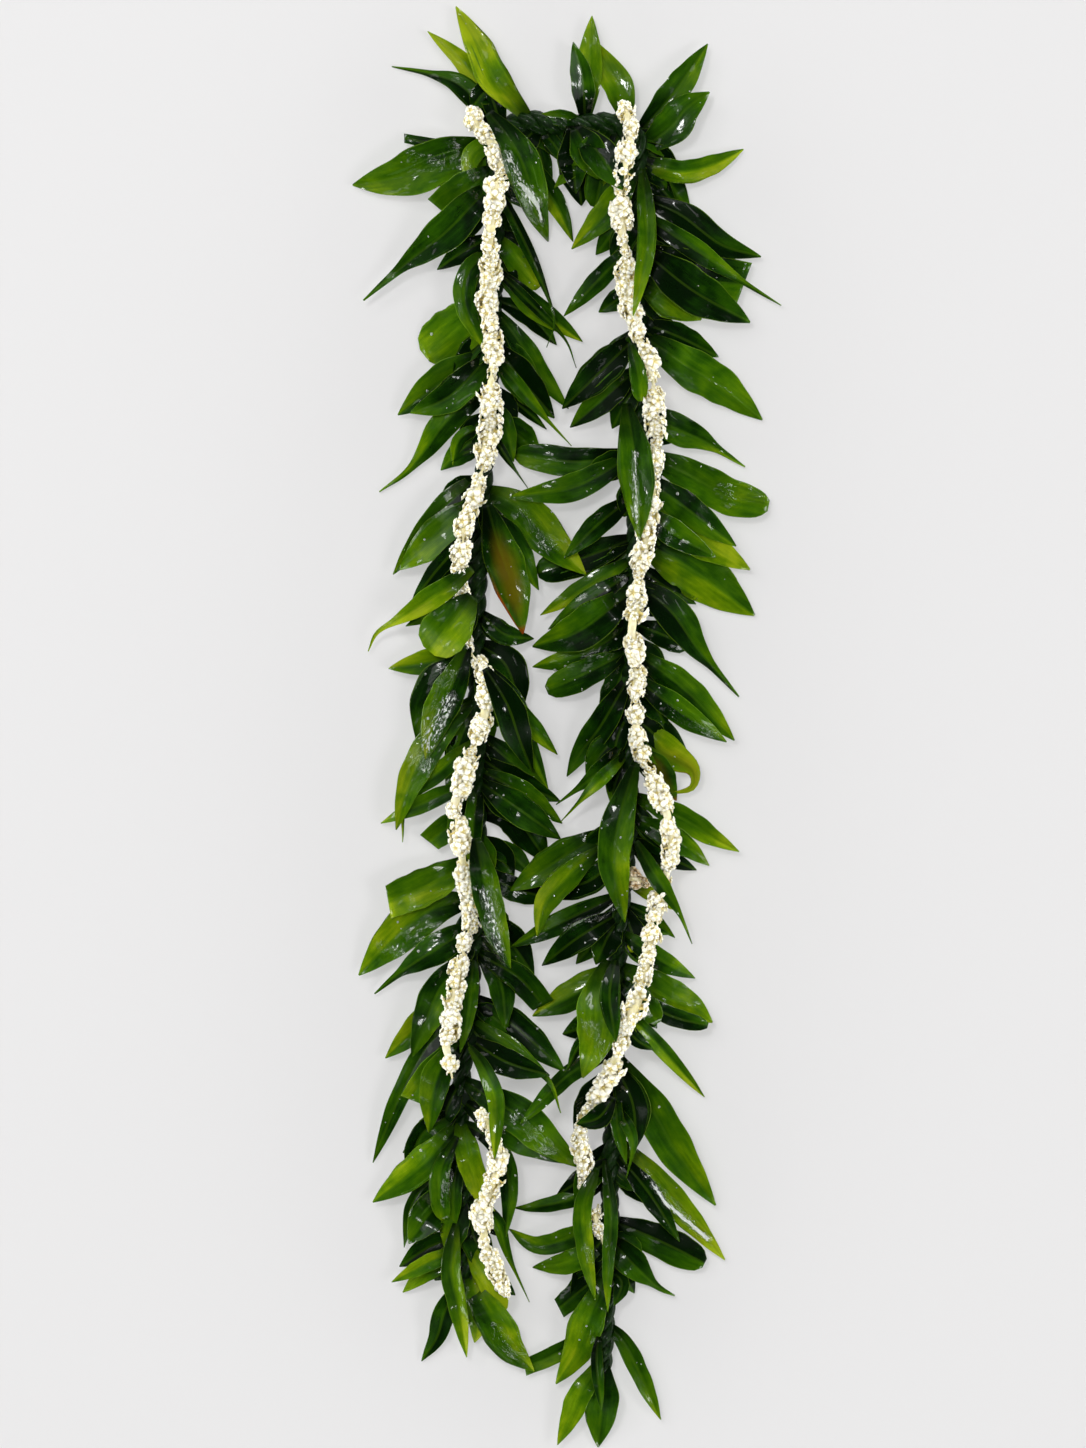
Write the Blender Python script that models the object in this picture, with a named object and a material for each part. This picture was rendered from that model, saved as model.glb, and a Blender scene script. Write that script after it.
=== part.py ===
import math
import random

import bmesh
import bpy
import numpy as np
from mathutils import Vector
from mathutils.bvhtree import BVHTree

# All lengths below are millimetres; the meshes are made in metres.
# +Y runs up the lei to the neck, +Z up from the surface it lies on, origin under the middle of its box.
MM = 0.001

LEI_WIDTH = 274
LEI_LENGTH = 920

# The twisted rope of leaf stems, from the left tail, round the neck, to the right tail.
ROPE_ROUTE = [
    (-62, -372), (-64, -340), (-66, -300), (-68, -262), (-68, -232), (-65, -200), (-61, -160), (-58, -110),
    (-57, -60), (-57, 0), (-58, 50), (-57, 100), (-54, 150), (-50, 200), (-48, 250), (-46, 300), (-46, 345),
    (-46, 366), (-42, 379), (-31, 386), (-16, 386), (2, 384), (20, 385), (33, 385), (43, 378), (46, 365),
    (46, 340), (46, 300), (46, 250), (46, 200), (45, 150), (43, 100), (41, 50), (39, 0), (40, -50),
    (36, -100), (33, -140), (32, -190), (30, -240), (28, -290), (26, -340), (25, -375), (22, -414),
]
ROPE_SECTIONS = 30
ROPE_RADIUS = 6.4
NECK_RADIUS = 8.2
NECK_Y = 372
ROPE_SIDES = 7
ROPE_RING_STEP = 14.0
ROPE_TWIST_PITCH = 34.0
ROPE_LOBE = 0.13
ROPE_HEIGHT = 7.6
ROPE_UNDERSIDE = 1.4
ROOT_CLEAR_LOW = 12.0
ROOT_CLEAR_HIGH = 9.0
SECTION_GAP = 0.3
FEET = [(-66, -300), (4, 384), (28, -290)]

BLADE_THICKNESS = 1.3
BLADE_SPAN = 18.5
BLADE_STATIONS = (3, 6)
LEAST_HALF_WIDTH = 0.7
CUT_SLANT = 0.1
TIP_HEIGHTS = (1, 9)
ARCHES = (1.5, 7)
ARCH_LENGTH = 80
FOLDS = (0.1, 0.3)
BANKS = (-0.14, 0.14)
WAVE_HEIGHT = 0.05
WAVE_TURNS = (1.1, 1.7)
TIP_THICKNESS = 0.6
FUSE_REACH = 13.0
LAY_GAP = 0.5
SEAT_GAP = 0.35
SEAT_STEP = 0.3
FLOOR_GAP = 1.6
STEEPEST = 0.85
SAG = 0.06
SETTLE_TURNS = 14
STRICT_TURNS = 3
STATION_REACH = 0.35
MAP_STEP = 1.0
MAP_MARGIN = 30
SAMPLE_STEP = 1.1
ROPE_MARKS_ALONG = 17
ROPE_MARKS_ACROSS = 7
LONGEST_LEAF_SECTIONS = 4

BLOSSOM_RING_STEP = 8.5
BLOSSOM_SIDES = 6
BLOSSOM_KNOB = 0.15
BLOSSOM_FLATTEN = 0.9
LEAST_BLOSSOM_WIDTH = 3.6
BLOSSOM_TURNS = 12
BLOSSOM_SMOOTHING = 6
BLOSSOM_MARKS_ALONG = 7
BLOSSOM_MARKS_ACROSS = 15

# Short leaves close to the rope, under the others, one to a section and on its sides in turn.
SHORT_LEAF_LENGTHS = (27, 37)
SHORT_LEAF_WIDTHS = (15, 19)
SHORT_LEAF_ANGLES = (22, 48)
SHORT_LEAF_PLACES = (0.28, 0.72)
SHORT_LEAF_BEND = 1.15
SHORT_LEAF_TAIL_Y = -335

# Half width along a blade, from root to tip, as a share of the widest place.
OUTLINES = {
    "point": [(0, 0.24), (0.2, 0.66), (0.42, 1.0), (0.6, 0.96), (0.78, 0.66), (0.9, 0.36), (1, 0.04)],
    "long": [(0, 0.3), (0.15, 0.74), (0.35, 1.0), (0.65, 0.9), (0.85, 0.52), (1, 0.05)],
    "tail": [(0, 0.3), (0.2, 0.86), (0.4, 1.0), (0.58, 0.66), (0.72, 0.3), (0.88, 0.15), (1, 0.05)],
    "cut": [(0, 0.24), (0.2, 0.6), (0.45, 0.92), (0.7, 1.0), (1, 0.86)],
    "blunt": [(0, 0.26), (0.2, 0.62), (0.45, 0.94), (0.7, 1.0), (0.88, 0.84), (0.96, 0.6), (1, 0.3)],
}

# Each leaf: points along its midrib from the rope to its tip, its greatest width, its outline.
ROPE_LEAVES = [
    ([(-36, 392), (-45, 412), (-57, 436), (-71, 461)], 20, "point"),
    ([(-40, 396), (-63, 421), (-89, 445)], 13, "point"),
    ([(-44, 396), (-66, 409), (-88, 418), (-112, 423)], 15, "tail"),
    ([(-38, 392), (-50, 405), (-60, 397)], 16, "blunt"),
    ([(-50, 376), (-80, 373), (-104, 377)], 7, "cut"),
    ([(-46, 374), (-78, 363), (-106, 352), (-137, 347)], 30, "point"),
    ([(-47, 380), (-60, 366), (-64, 347)], 13, "point"),
    ([(-46, 358), (-62, 344), (-80, 330)], 26, "cut"),
    ([(-46, 338), (-75, 318), (-102, 297), (-130, 273)], 24, "tail"),
    ([(-46, 314), (-68, 303), (-83, 293)], 14, "point"),
    ([(-46, 305), (-62, 292), (-65, 270), (-52, 241)], 14, "long"),
    ([(-47, 272), (-68, 256), (-91, 238)], 33, "blunt"),
    ([(-48, 242), (-78, 222), (-108, 200)], 23, "point"),
    ([(-48, 232), (-74, 212), (-100, 201)], 21, "point"),
    ([(-50, 215), (-74, 199), (-99, 167), (-120, 151)], 18, "tail"),
    ([(-51, 195), (-68, 185), (-73, 168)], 9, "point"),
    ([(-46, 368), (-22, 354), (-6, 333), (4, 311)], 15, "point"),
    ([(-46, 338), (-26, 308), (-12, 275), (-8, 258), (-13, 243)], 8, "tail"),
    ([(-46, 314), (-32, 298), (-18, 281)], 16, "blunt"),
    ([(-46, 294), (-22, 270), (-6, 259), (10, 247)], 15, "point"),
    ([(-47, 288), (-18, 266), (-1, 248), (6, 230)], 7, "tail"),
    ([(-47, 268), (-30, 246), (-17, 226), (1, 204)], 15, "point"),
    ([(-48, 248), (-32, 226), (-8, 198)], 22, "point"),
    ([(-49, 222), (-30, 206), (-13, 191)], 8, "point"),
    ([(-49, 230), (-20, 205), (3, 180)], 9, "tail"),
    ([(-50, 212), (-40, 195), (-34, 170)], 12, "point"),
    ([(-51, 195), (-40, 175), (-25, 153)], 6, "tail"),
    ([(-54, 163), (-77, 142), (-95, 119), (-111, 98)], 16, "long"),
    ([(-55, 146), (-78, 126), (-107, 101)], 24, "point"),
    ([(-57, 122), (-80, 104), (-93, 88), (-100, 78)], 12, "point"),
    ([(-57, 93), (-80, 77), (-103, 65)], 12, "point"),
    ([(-58, 50), (-84, 43), (-114, 38)], 17, "point"),
    ([(-58, 46), (-83, 25), (-96, -8)], 28, "point"),
    ([(-57, 10), (-85, -8), (-100, -35), (-109, -65)], 20, "point"),
    ([(-57, -8), (-78, -25), (-102, -47), (-105, -73)], 12, "tail"),
    ([(-57, -32), (-85, -45), (-119, -61)], 12, "point"),
    ([(-57, -52), (-75, -63), (-88, -73)], 17, "cut"),
    ([(-57, -82), (-86, -99), (-114, -111)], 24, "cut"),
    ([(-58, -100), (-87, -116), (-110, -134), (-133, -158)], 27, "point"),
    ([(-59, -125), (-82, -140), (-105, -155), (-123, -170)], 20, "tail"),
    ([(-61, -143), (-80, -165), (-90, -187), (-99, -210)], 21, "point"),
    ([(-62, -162), (-86, -183), (-116, -211)], 19, "point"),
    ([(-64, -180), (-88, -202), (-107, -236), (-124, -278)], 13, "long"),
    ([(-65, -200), (-85, -216), (-100, -237)], 15, "cut"),
    ([(-66, -207), (-83, -222), (-88, -258)], 19, "point"),
    ([(-68, -245), (-88, -255), (-97, -268), (-101, -290)], 14, "long"),
    ([(-68, -262), (-92, -278), (-124, -303)], 21, "point"),
    ([(-67, -281), (-86, -289), (-99, -305), (-104, -332)], 9, "long"),
    ([(-66, -296), (-86, -308), (-101, -329)], 24, "point"),
    ([(-65, -318), (-85, -330), (-107, -344)], 16, "point"),
    ([(-65, -335), (-88, -346), (-105, -361)], 13, "point"),
    ([(-65, -330), (-90, -342), (-112, -354)], 11, "point"),
    ([(-62, -348), (-77, -370), (-83, -389), (-93, -405)], 14, "point"),
    ([(-65, -345), (-58, -362), (-56, -378), (-59, -393)], 18, "point"),
    ([(-68, -266), (-72, -290), (-72, -320)], 11, "long"),
    ([(-68, -248), (-62, -275), (-54, -298), (-46, -308)], 16, "long"),
    ([(-65, -328), (-55, -345), (-46, -360), (-42, -374)], 15, "blunt"),
    ([(-68, -255), (-46, -264), (-37, -290), (-39, -325)], 13, "long"),
    ([(-66, -300), (-46, -312), (-37, -338), (-24, -367)], 8, "tail"),
    ([(-62, -352), (-46, -379), (-36, -396), (-21, -411)], 23, "point"),
    ([(-60, -150), (-62, -175), (-68, -207)], 10, "long"),
    ([(-54, 152), (-30, 140), (-10, 119), (12, 98)], 26, "point"),
    ([(-56, 142), (-36, 122), (-18, 88)], 16, "point"),
    ([(-58, 75), (-40, 60), (-21, 57)], 14, "point"),
    ([(-58, 64), (-39, 40), (-29, 10)], 24, "point"),
    ([(-58, 45), (-35, 20), (-26, -5), (-12, -39)], 12, "long"),
    ([(-57, 30), (-30, 8), (-6, -17)], 14, "point"),
    ([(-57, -5), (-35, -22), (-12, -39)], 18, "point"),
    ([(-57, -18), (-30, -35), (-4, -47)], 16, "point"),
    ([(-57, -28), (-28, -42), (-3, -61)], 16, "point"),
    ([(-57, -36), (-30, -52), (-4, -71)], 20, "point"),
    ([(-57, -42), (-60, -65), (-61, -92)], 12, "long"),
    ([(-57, -45), (-34, -57), (-12, -86)], 24, "point"),
    ([(-57, -92), (-38, -101), (-15, -108)], 16, "blunt"),
    ([(-58, -120), (-38, -135), (-21, -158)], 22, "point"),
    ([(-60, -138), (-43, -160), (-39, -192)], 17, "point"),
    ([(-60, -148), (-32, -158), (-15, -177)], 17, "cut"),
    ([(-62, -172), (-34, -190), (-1, -219)], 20, "point"),
    ([(-63, -185), (-35, -205), (-12, -224), (-4, -245)], 13, "tail"),
    ([(-64, -198), (-40, -212), (-11, -221)], 18, "point"),
    ([(-67, -238), (-35, -258), (-2, -278)], 20, "point"),
    ([(-66, -225), (-32, -246), (-9, -266), (9, -281)], 24, "point"),
    ([(-20, 386), (-8, 372), (0, 358)], 10, "point"),
    ([(20, 386), (2, 388), (-18, 391)], 11, "point"),
    ([(17, 386), (14, 420), (16, 455)], 17, "point"),
    ([(14, 386), (10, 412), (4, 438)], 15, "point"),
    ([(41, 384), (34, 407), (23, 427), (17, 440)], 19, "point"),
    ([(22, 385), (24, 360), (18, 333)], 20, "blunt"),
    ([(28, 385), (12, 366), (-8, 345)], 14, "point"),
    ([(46, 352), (26, 330), (3, 306)], 18, "point"),
    ([(44, 378), (68, 405), (90, 437)], 18, "point"),
    ([(46, 368), (66, 383), (76, 395), (91, 406)], 23, "point"),
    ([(46, 362), (72, 355), (93, 360), (113, 370)], 15, "long"),
    ([(46, 345), (72, 328), (98, 309), (124, 301)], 20, "point"),
    ([(46, 306), (80, 288), (113, 283)], 34, "cut"),
    ([(46, 296), (80, 279), (117, 259)], 28, "point"),
    ([(46, 330), (80, 306), (112, 285), (137, 270)], 14, "tail"),
    ([(46, 286), (66, 275), (86, 261)], 27, "point"),
    ([(46, 258), (73, 249), (97, 237)], 17, "point"),
    ([(46, 246), (75, 232), (99, 218), (125, 197)], 26, "point"),
    ([(46, 203), (70, 191), (90, 182), (114, 167)], 20, "tail"),
    ([(46, 180), (75, 163), (103, 148), (129, 142)], 24, "blunt"),
    ([(45, 152), (80, 124), (117, 101)], 24, "point"),
    ([(45, 164), (72, 143), (108, 116)], 20, "point"),
    ([(44, 140), (68, 124), (95, 109)], 17, "point"),
    ([(44, 122), (80, 101), (120, 72)], 32, "point"),
    ([(43, 95), (66, 75), (84, 50), (110, 20)], 22, "tail"),
    ([(42, 75), (60, 60), (78, 52)], 16, "blunt"),
    ([(46, 312), (22, 288), (-2, 263)], 13, "point"),
    ([(46, 250), (20, 226), (-3, 204)], 22, "point"),
    ([(46, 236), (24, 211), (2, 192)], 18, "point"),
    ([(46, 184), (8, 170), (-33, 175)], 19, "blunt"),
    ([(45, 178), (5, 154), (-37, 147)], 18, "point"),
    ([(45, 150), (20, 130), (-2, 108)], 15, "point"),
    ([(44, 128), (14, 110), (-19, 99)], 22, "blunt"),
    ([(44, 108), (12, 90), (-17, 72)], 13, "point"),
    ([(43, 100), (15, 82), (-12, 63)], 14, "point"),
    ([(42, 84), (8, 62), (-22, 52)], 26, "point"),
    ([(41, 66), (10, 47), (-22, 39)], 17, "point"),
    ([(41, 50), (10, 34), (-13, 24)], 19, "blunt"),
    ([(39, 26), (22, 2), (10, -14), (0, -31)], 18, "point"),
    ([(39, 8), (33, -4), (30, -16)], 13, "blunt"),
    ([(39, -8), (22, -27), (-7, -49)], 13, "tail"),
    ([(39, -15), (20, -34), (-4, -60)], 9, "tail"),
    ([(41, 50), (70, 29), (90, 10), (107, -8)], 20, "point"),
    ([(40, 34), (70, 12), (102, -9)], 17, "point"),
    ([(39, 18), (60, 0), (76, -13)], 14, "point"),
    ([(39, 2), (62, -14), (80, -26), (80, -38), (66, -42)], 21, "tail"),
    ([(40, -45), (50, -62), (62, -78)], 13, "point"),
    ([(40, -38), (74, -58), (92, -69), (110, -79)], 16, "point"),
    ([(40, -55), (72, -73), (91, -88)], 16, "point"),
    ([(36, -98), (55, -107), (68, -116)], 9, "point"),
    ([(35, -110), (55, -122), (69, -134)], 9, "point"),
    ([(34, -118), (50, -127), (66, -132)], 8, "point"),
    ([(34, -128), (42, -136), (47, -146)], 10, "blunt"),
    ([(34, -134), (60, -148), (82, -160)], 14, "point"),
    ([(33, -152), (62, -171), (78, -178), (93, -188)], 26, "point"),
    ([(33, -165), (65, -183), (90, -190)], 12, "blunt"),
    ([(33, -160), (50, -176), (58, -188)], 15, "blunt"),
    ([(32, -175), (60, -204), (88, -236)], 10, "long"),
    ([(32, -190), (44, -198), (55, -205)], 10, "point"),
    ([(31, -210), (52, -240), (70, -270), (95, -305)], 25, "point"),
    ([(31, -215), (42, -240), (44, -268)], 22, "point"),
    ([(30, -228), (32, -252), (38, -278)], 9, "long"),
    ([(30, -240), (42, -262), (38, -287)], 8, "tail"),
    ([(29, -256), (55, -287), (78, -313), (101, -340)], 18, "point"),
    ([(28, -268), (52, -296), (72, -328)], 14, "point"),
    ([(27, -312), (60, -328), (88, -342)], 22, "blunt"),
    ([(26, -325), (45, -345), (58, -357), (69, -363)], 19, "tail"),
    ([(26, -345), (35, -354), (30, -369)], 10, "point"),
    ([(38, -85), (15, -97), (-12, -104)], 18, "blunt"),
    ([(35, -105), (5, -120), (-36, -140)], 15, "point"),
    ([(34, -118), (8, -133), (-16, -152)], 18, "point"),
    ([(33, -148), (6, -169), (-22, -184)], 20, "point"),
    ([(32, -185), (10, -200), (0, -218)], 9, "point"),
    ([(32, -200), (0, -222), (-30, -252)], 12, "long"),
    ([(28, -288), (5, -300), (-20, -306), (-34, -307)], 11, "long"),
    ([(27, -308), (0, -326), (-20, -330), (-37, -320)], 14, "long"),
    ([(26, -330), (0, -341), (-22, -345)], 15, "point"),
    ([(25, -345), (8, -360), (-5, -371)], 15, "cut"),
    ([(25, -356), (13, -378), (6, -399), (-7, -419)], 22, "point"),
    ([(24, -375), (0, -396), (-27, -409)], 12, "cut"),
    ([(24, -380), (37, -393), (48, -415), (60, -442)], 12, "long"),
    ([(22, -405), (22, -430), (20, -460)], 22, "point"),
    ([(22, -402), (8, -425), (2, -440), (-6, -458)], 15, "point"),
]

# Leaves that cross in front of the blossoms or of other bunches: each is a piece of its own.
FRONT_LEAVES = {
    "front_leaf_left_tail": ([(-71, -316), (-74, -345), (-69, -372), (-64, -402)], 13, "long"),
    "front_leaf_left_strap": ([(-70, -260), (-80, -280), (-81, -300), (-78, -314)], 13, "blunt"),
    "front_leaf_right_strap": ([(24, -276), (28, -310), (26, -345), (26, -372)], 9, "long"),
    "front_leaf_right_tail": ([(19, -280), (10, -305), (12, -335), (18, -364)], 12, "long"),
    "front_leaf_right_end": ([(20, -388), (19, -405), (22, -435)], 8, "long"),
    "front_leaf_right_dark": ([(30, -235), (20, -248), (6, -252)], 14, "point"),
    "front_leaf_left_curved": ([(-62, -203), (-52, -218), (-45, -238), (-46, -274)], 11, "long"),
    "front_leaf_right_broad": ([(26, -148), (19, -172), (18, -198), (10, -223)], 25, "point"),
    "front_leaf_right_satin": ([(31, -148), (27, -170), (31, -199)], 13, "long"),
    "front_leaf_left_long": ([(-58, -70), (-52, -100), (-45, -128), (-36, -153)], 18, "long"),
    "front_leaf_inner_wide": ([(24, -66), (-5, -84), (-36, -104)], 22, "point"),
    "front_leaf_inner_folded": ([(22, -76), (0, -95), (-14, -112), (-19, -133)], 17, "point"),
    "front_leaf_right_hanging": ([(44, -22), (34, -55), (30, -85), (37, -124)], 22, "point"),
    "front_leaf_right_twisted": ([(44, -72), (55, -92), (71, -117), (80, -138)], 11, "tail"),
    "front_leaf_left_wet": ([(-63, 52), (-72, 30), (-83, 6), (-90, -20)], 22, "point"),
    "front_leaf_left_dark": ([(-52, 38), (-38, 15), (-30, -8), (-22, -28)], 20, "point"),
    "front_leaf_left_round": ([(-60, 84), (-74, 66), (-88, 49)], 31, "blunt"),
    "front_leaf_left_pale": ([(-60, 101), (-84, 84), (-106, 70), (-121, 61), (-127, 49)], 15, "tail"),
    "front_leaf_brown_edge": ([(-51, 143), (-43, 115), (-34, 88), (-28, 60)], 25, "point"),
    "front_leaf_right_white_streak": ([(38, 207), (42, 180), (45, 150), (46, 120)], 23, "point"),
    "front_leaf_right_short": ([(40, 245), (45, 226), (47, 208)], 11, "blunt"),
    "front_leaf_right_upper": ([(48, 357), (51, 315), (47, 285), (42, 262)], 12, "long"),
    "front_leaf_left_upper": ([(-50, 392), (-36, 374), (-27, 356), (-20, 332), (-12, 311)], 23, "point"),
}

# Each string of blossoms: points along it from the neck end to its tail, with its width there.
BLOSSOM_STRINGS = {
    "blossoms_left": [
        (-60, 394, 8), (-60, 388, 13), (-57, 382, 14), (-51, 377, 14), (-46, 370, 14), (-43, 360, 13),
        (-41, 353, 9), (-43, 350, 5), (-45, 346, 12), (-46, 339, 14), (-46, 332, 12), (-47, 328, 5),
        (-48, 323, 13), (-49, 314, 14), (-49, 306, 12), (-48, 303, 5), (-49, 298, 13), (-49, 287, 15),
        (-50, 277, 14), (-51, 268, 14), (-49, 261, 13), (-49, 256, 11), (-48, 253, 5), (-47, 248, 13),
        (-47, 238, 14), (-47, 230, 12), (-48, 226, 5), (-48, 221, 12), (-49, 212, 14), (-48, 202, 14),
        (-48, 194, 14), (-50, 187, 14), (-52, 177, 14), (-52, 168, 10), (-54, 164, 5), (-56, 159, 13),
        (-57, 151, 13), (-60, 144, 12), (-62, 137, 7), (-64, 132, 13), (-66, 125, 13), (-66, 119, 5),
        (-67, 114, 13), (-68, 106, 13), (-69, 99, 11), (-67, 91, 8), (-66, 84, 11), (-66, 76, 8),
        (-65, 68, 5), (-65, 60, 8), (-64, 52, 7), (-60, 46, 5), (-55, 40, 10), (-52, 31, 14),
        (-51, 23, 14), (-51, 14, 13), (-53, 7, 14), (-56, -1, 15), (-57, -6, 11), (-58, -11, 5),
        (-61, -17, 9), (-64, -23, 14), (-65, -31, 14), (-67, -38, 13), (-71, -46, 14), (-72, -52, 12),
        (-71, -57, 5), (-69, -63, 12), (-68, -72, 13), (-67, -80, 12), (-66, -90, 11), (-65, -99, 10),
        (-63, -108, 11), (-62, -117, 11), (-61, -126, 10), (-63, -130, 5), (-66, -136, 13), (-66, -145, 6),
        (-69, -151, 13), (-70, -161, 13), (-72, -170, 10), (-73, -177, 13), (-74, -186, 13), (-75, -195, 11),
        (-77, -203, 13), (-75, -211, 11), (-74, -218, 7), (-73, -223, 4),
    ],
    "blossoms_left_tail": [
        (-56, -244, 6), (-51, -250, 12), (-47, -258, 12), (-44, -268, 13), (-44, -279, 13), (-48, -290, 13),
        (-50, -300, 9), (-55, -308, 13), (-53, -317, 11), (-53, -324, 13), (-51, -333, 11), (-47, -342, 12),
        (-43, -352, 10), (-40, -358, 8), (-37, -364, 4),
    ],
    "blossoms_right": [
        (36, 398, 7), (38, 391, 13), (41, 382, 12), (40, 373, 13), (37, 365, 14), (36, 357, 14),
        (34, 349, 13), (35, 343, 9), (35, 340, 5), (34, 334, 12), (35, 325, 14), (35, 315, 13),
        (37, 306, 10), (38, 301, 5), (37, 294, 13), (37, 283, 14), (39, 273, 14), (42, 264, 14),
        (45, 252, 11), (48, 246, 5), (50, 240, 13), (53, 232, 14), (54, 224, 12), (55, 219, 6),
        (56, 212, 13), (55, 205, 14), (56, 197, 13), (57, 189, 11), (57, 183, 6), (56, 176, 11),
        (55, 164, 12), (55, 150, 11), (52, 136, 12), (51, 126, 12), (50, 116, 13), (47, 108, 13),
        (46, 101, 12), (46, 95, 5), (45, 87, 12), (45, 79, 13), (42, 69, 13), (41, 61, 12),
        (43, 54, 11), (44, 46, 10), (43, 39, 5), (45, 34, 11), (44, 27, 13), (44, 19, 11),
        (44, 15, 5), (44, 9, 12), (44, 2, 12), (44, -5, 12), (47, -13, 14), (48, -19, 9),
        (51, -24, 5), (55, -31, 9), (58, -39, 14), (61, -47, 14), (64, -56, 12), (65, -64, 11),
        (66, -72, 12), (66, -80, 9), (64, -89, 12), (63, -98, 9), (60, -103, 6), (58, -109, 12),
        (56, -118, 12), (54, -125, 5), (54, -131, 13), (52, -140, 9), (50, -150, 14), (48, -159, 11),
        (46, -163, 6), (46, -170, 13), (42, -180, 16), (38, -188, 11), (35, -194, 6), (34, -202, 11),
        (31, -211, 14), (27, -222, 14), (21, -233, 14), (15, -243, 13), (10, -250, 8), (8, -258, 10),
        (8, -266, 12), (11, -277, 12), (12, -285, 11), (10, -292, 8), (9, -298, 4),
    ],
    "blossoms_right_tail": [(20, -304, 4), (18, -311, 9), (19, -318, 9), (22, -325, 7), (24, -332, 4)],
    "blossoms_inner_glimpse": [(36, -92, 8), (42, -96, 12), (50, -99, 6)],
}

LEAF_COLOR = (0.035, 0.16, 0.02, 1)
BLOSSOM_COLOR = (0.86, 0.82, 0.62, 1)


def clear_scene():
    for obj in list(bpy.data.objects):
        bpy.data.objects.remove(obj, do_unlink=True)


def principled(name, color, roughness):
    material = bpy.data.materials.new(name)
    material.use_nodes = True
    shader = material.node_tree.nodes["Principled BSDF"]
    shader.inputs["Base Color"].default_value = color
    shader.inputs["Roughness"].default_value = roughness
    shader.inputs["Metallic"].default_value = 0.0
    return material


def smooth_route(points, span_steps=16):
    """Points of a Catmull-Rom curve through the given points, close together."""
    points = np.array(points, float)
    ends = np.vstack([2 * points[0] - points[1], points, 2 * points[-1] - points[-2]])
    out = []
    for before, start, end, after in zip(ends, ends[1:], ends[2:], ends[3:]):
        for step in range(span_steps):
            t = step / span_steps
            out.append(
                0.5 * (2 * start + (end - before) * t + (2 * before - 5 * start + 4 * end - after) * t**2
                       + (3 * start - before - 3 * end + after) * t**3)
            )
    out.append(points[-1])
    return np.array(out)


def lengths_along(route):
    steps = np.linalg.norm(np.diff(route[:, :2], axis=0), axis=1)
    return np.concatenate([[0.0], np.cumsum(steps)])


def at_lengths(route, lengths):
    """The route's columns at the given distances along it."""
    along = lengths_along(route)
    return np.stack([np.interp(lengths, along, column) for column in route.T], axis=1)


def directions(points):
    step = np.gradient(points[:, :2], axis=0)
    return step / np.linalg.norm(step, axis=1, keepdims=True)


class HeightMap:
    """The highest solid at each place of the surface, in cells of MAP_STEP."""

    def __init__(self):
        self.low = -np.array([LEI_WIDTH, LEI_LENGTH]) / 2 - MAP_MARGIN
        shape = (np.array([LEI_WIDTH, LEI_LENGTH]) + 2 * MAP_MARGIN) / MAP_STEP
        self.top = np.zeros(shape.astype(int) + 2)

    def cells(self, xy):
        index = ((xy - self.low) / MAP_STEP).astype(int)
        return index[:, 0], index[:, 1]

    def raise_to(self, points):
        column, row = self.cells(points[:, :2])
        for across in (-1, 0, 1):
            for along in (-1, 0, 1):
                np.maximum.at(self.top, (column + across, row + along), points[:, 2])

    def height(self, xy):
        return self.top[self.cells(xy)]


class Rope:
    """The rope's middle line, cut into sections of equal length."""

    def __init__(self):
        self.route = smooth_route(ROPE_ROUTE)
        self.along = lengths_along(self.route)
        self.section_length = self.along[-1] / ROPE_SECTIONS

    def section_of(self, point):
        """The section nearest to a point, and the place along the rope where a leaf leaves it."""
        nearest = self.along[np.argmin(np.linalg.norm(self.route - np.array(point), axis=1))]
        section = min(int(nearest / self.section_length), ROPE_SECTIONS - 1)
        start = section * self.section_length
        tail_side, neck_side = ROOT_CLEAR_LOW, ROOT_CLEAR_HIGH
        if section >= ROPE_SECTIONS / 2:
            tail_side, neck_side = neck_side, tail_side
        return section, float(np.clip(nearest, start + tail_side, start + self.section_length - neck_side))

    def middle_of(self, section):
        return at_lengths(self.route, [(section + 0.5) * self.section_length])[0]

    def rings(self, section):
        """Corner points of the section's rings, two-lobed like two plies twisted together."""
        start = section * self.section_length + SECTION_GAP / 2
        end = (section + 1) * self.section_length - SECTION_GAP / 2
        count = max(2, round((end - start) / ROPE_RING_STEP)) + 1
        places = np.linspace(start, end, count)
        middles = at_lengths(self.route, places)
        ahead = at_lengths(self.route, places + 0.5) - at_lengths(self.route, places - 0.5)
        ahead /= np.linalg.norm(ahead, axis=1, keepdims=True)
        middle = self.route[np.argmin(np.abs(self.along - (start + end) / 2))]
        is_foot = any(np.linalg.norm(middle - np.array(foot)) < self.section_length / 2 for foot in FEET)
        underside = 0.0 if is_foot else ROPE_UNDERSIDE
        rings = []
        for place, (x, y), (ahead_x, ahead_y) in zip(places, middles, ahead):
            radius = NECK_RADIUS if y > NECK_Y else ROPE_RADIUS
            ring = []
            for corner in range(ROPE_SIDES):
                angle = math.radians(-90) + math.tau * (corner + 0.5) / ROPE_SIDES
                turned = 2 * (angle - math.tau * place / ROPE_TWIST_PITCH / 2)
                reach = radius * (1 + ROPE_LOBE * math.cos(turned))
                out = reach * math.cos(angle)
                height = ROPE_HEIGHT + reach * math.sin(angle)
                if corner in (0, ROPE_SIDES - 1):
                    height = underside
                ring.append((x - ahead_y * out, y + ahead_x * out, max(height, underside)))
            rings.append(ring)
        return rings


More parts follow.
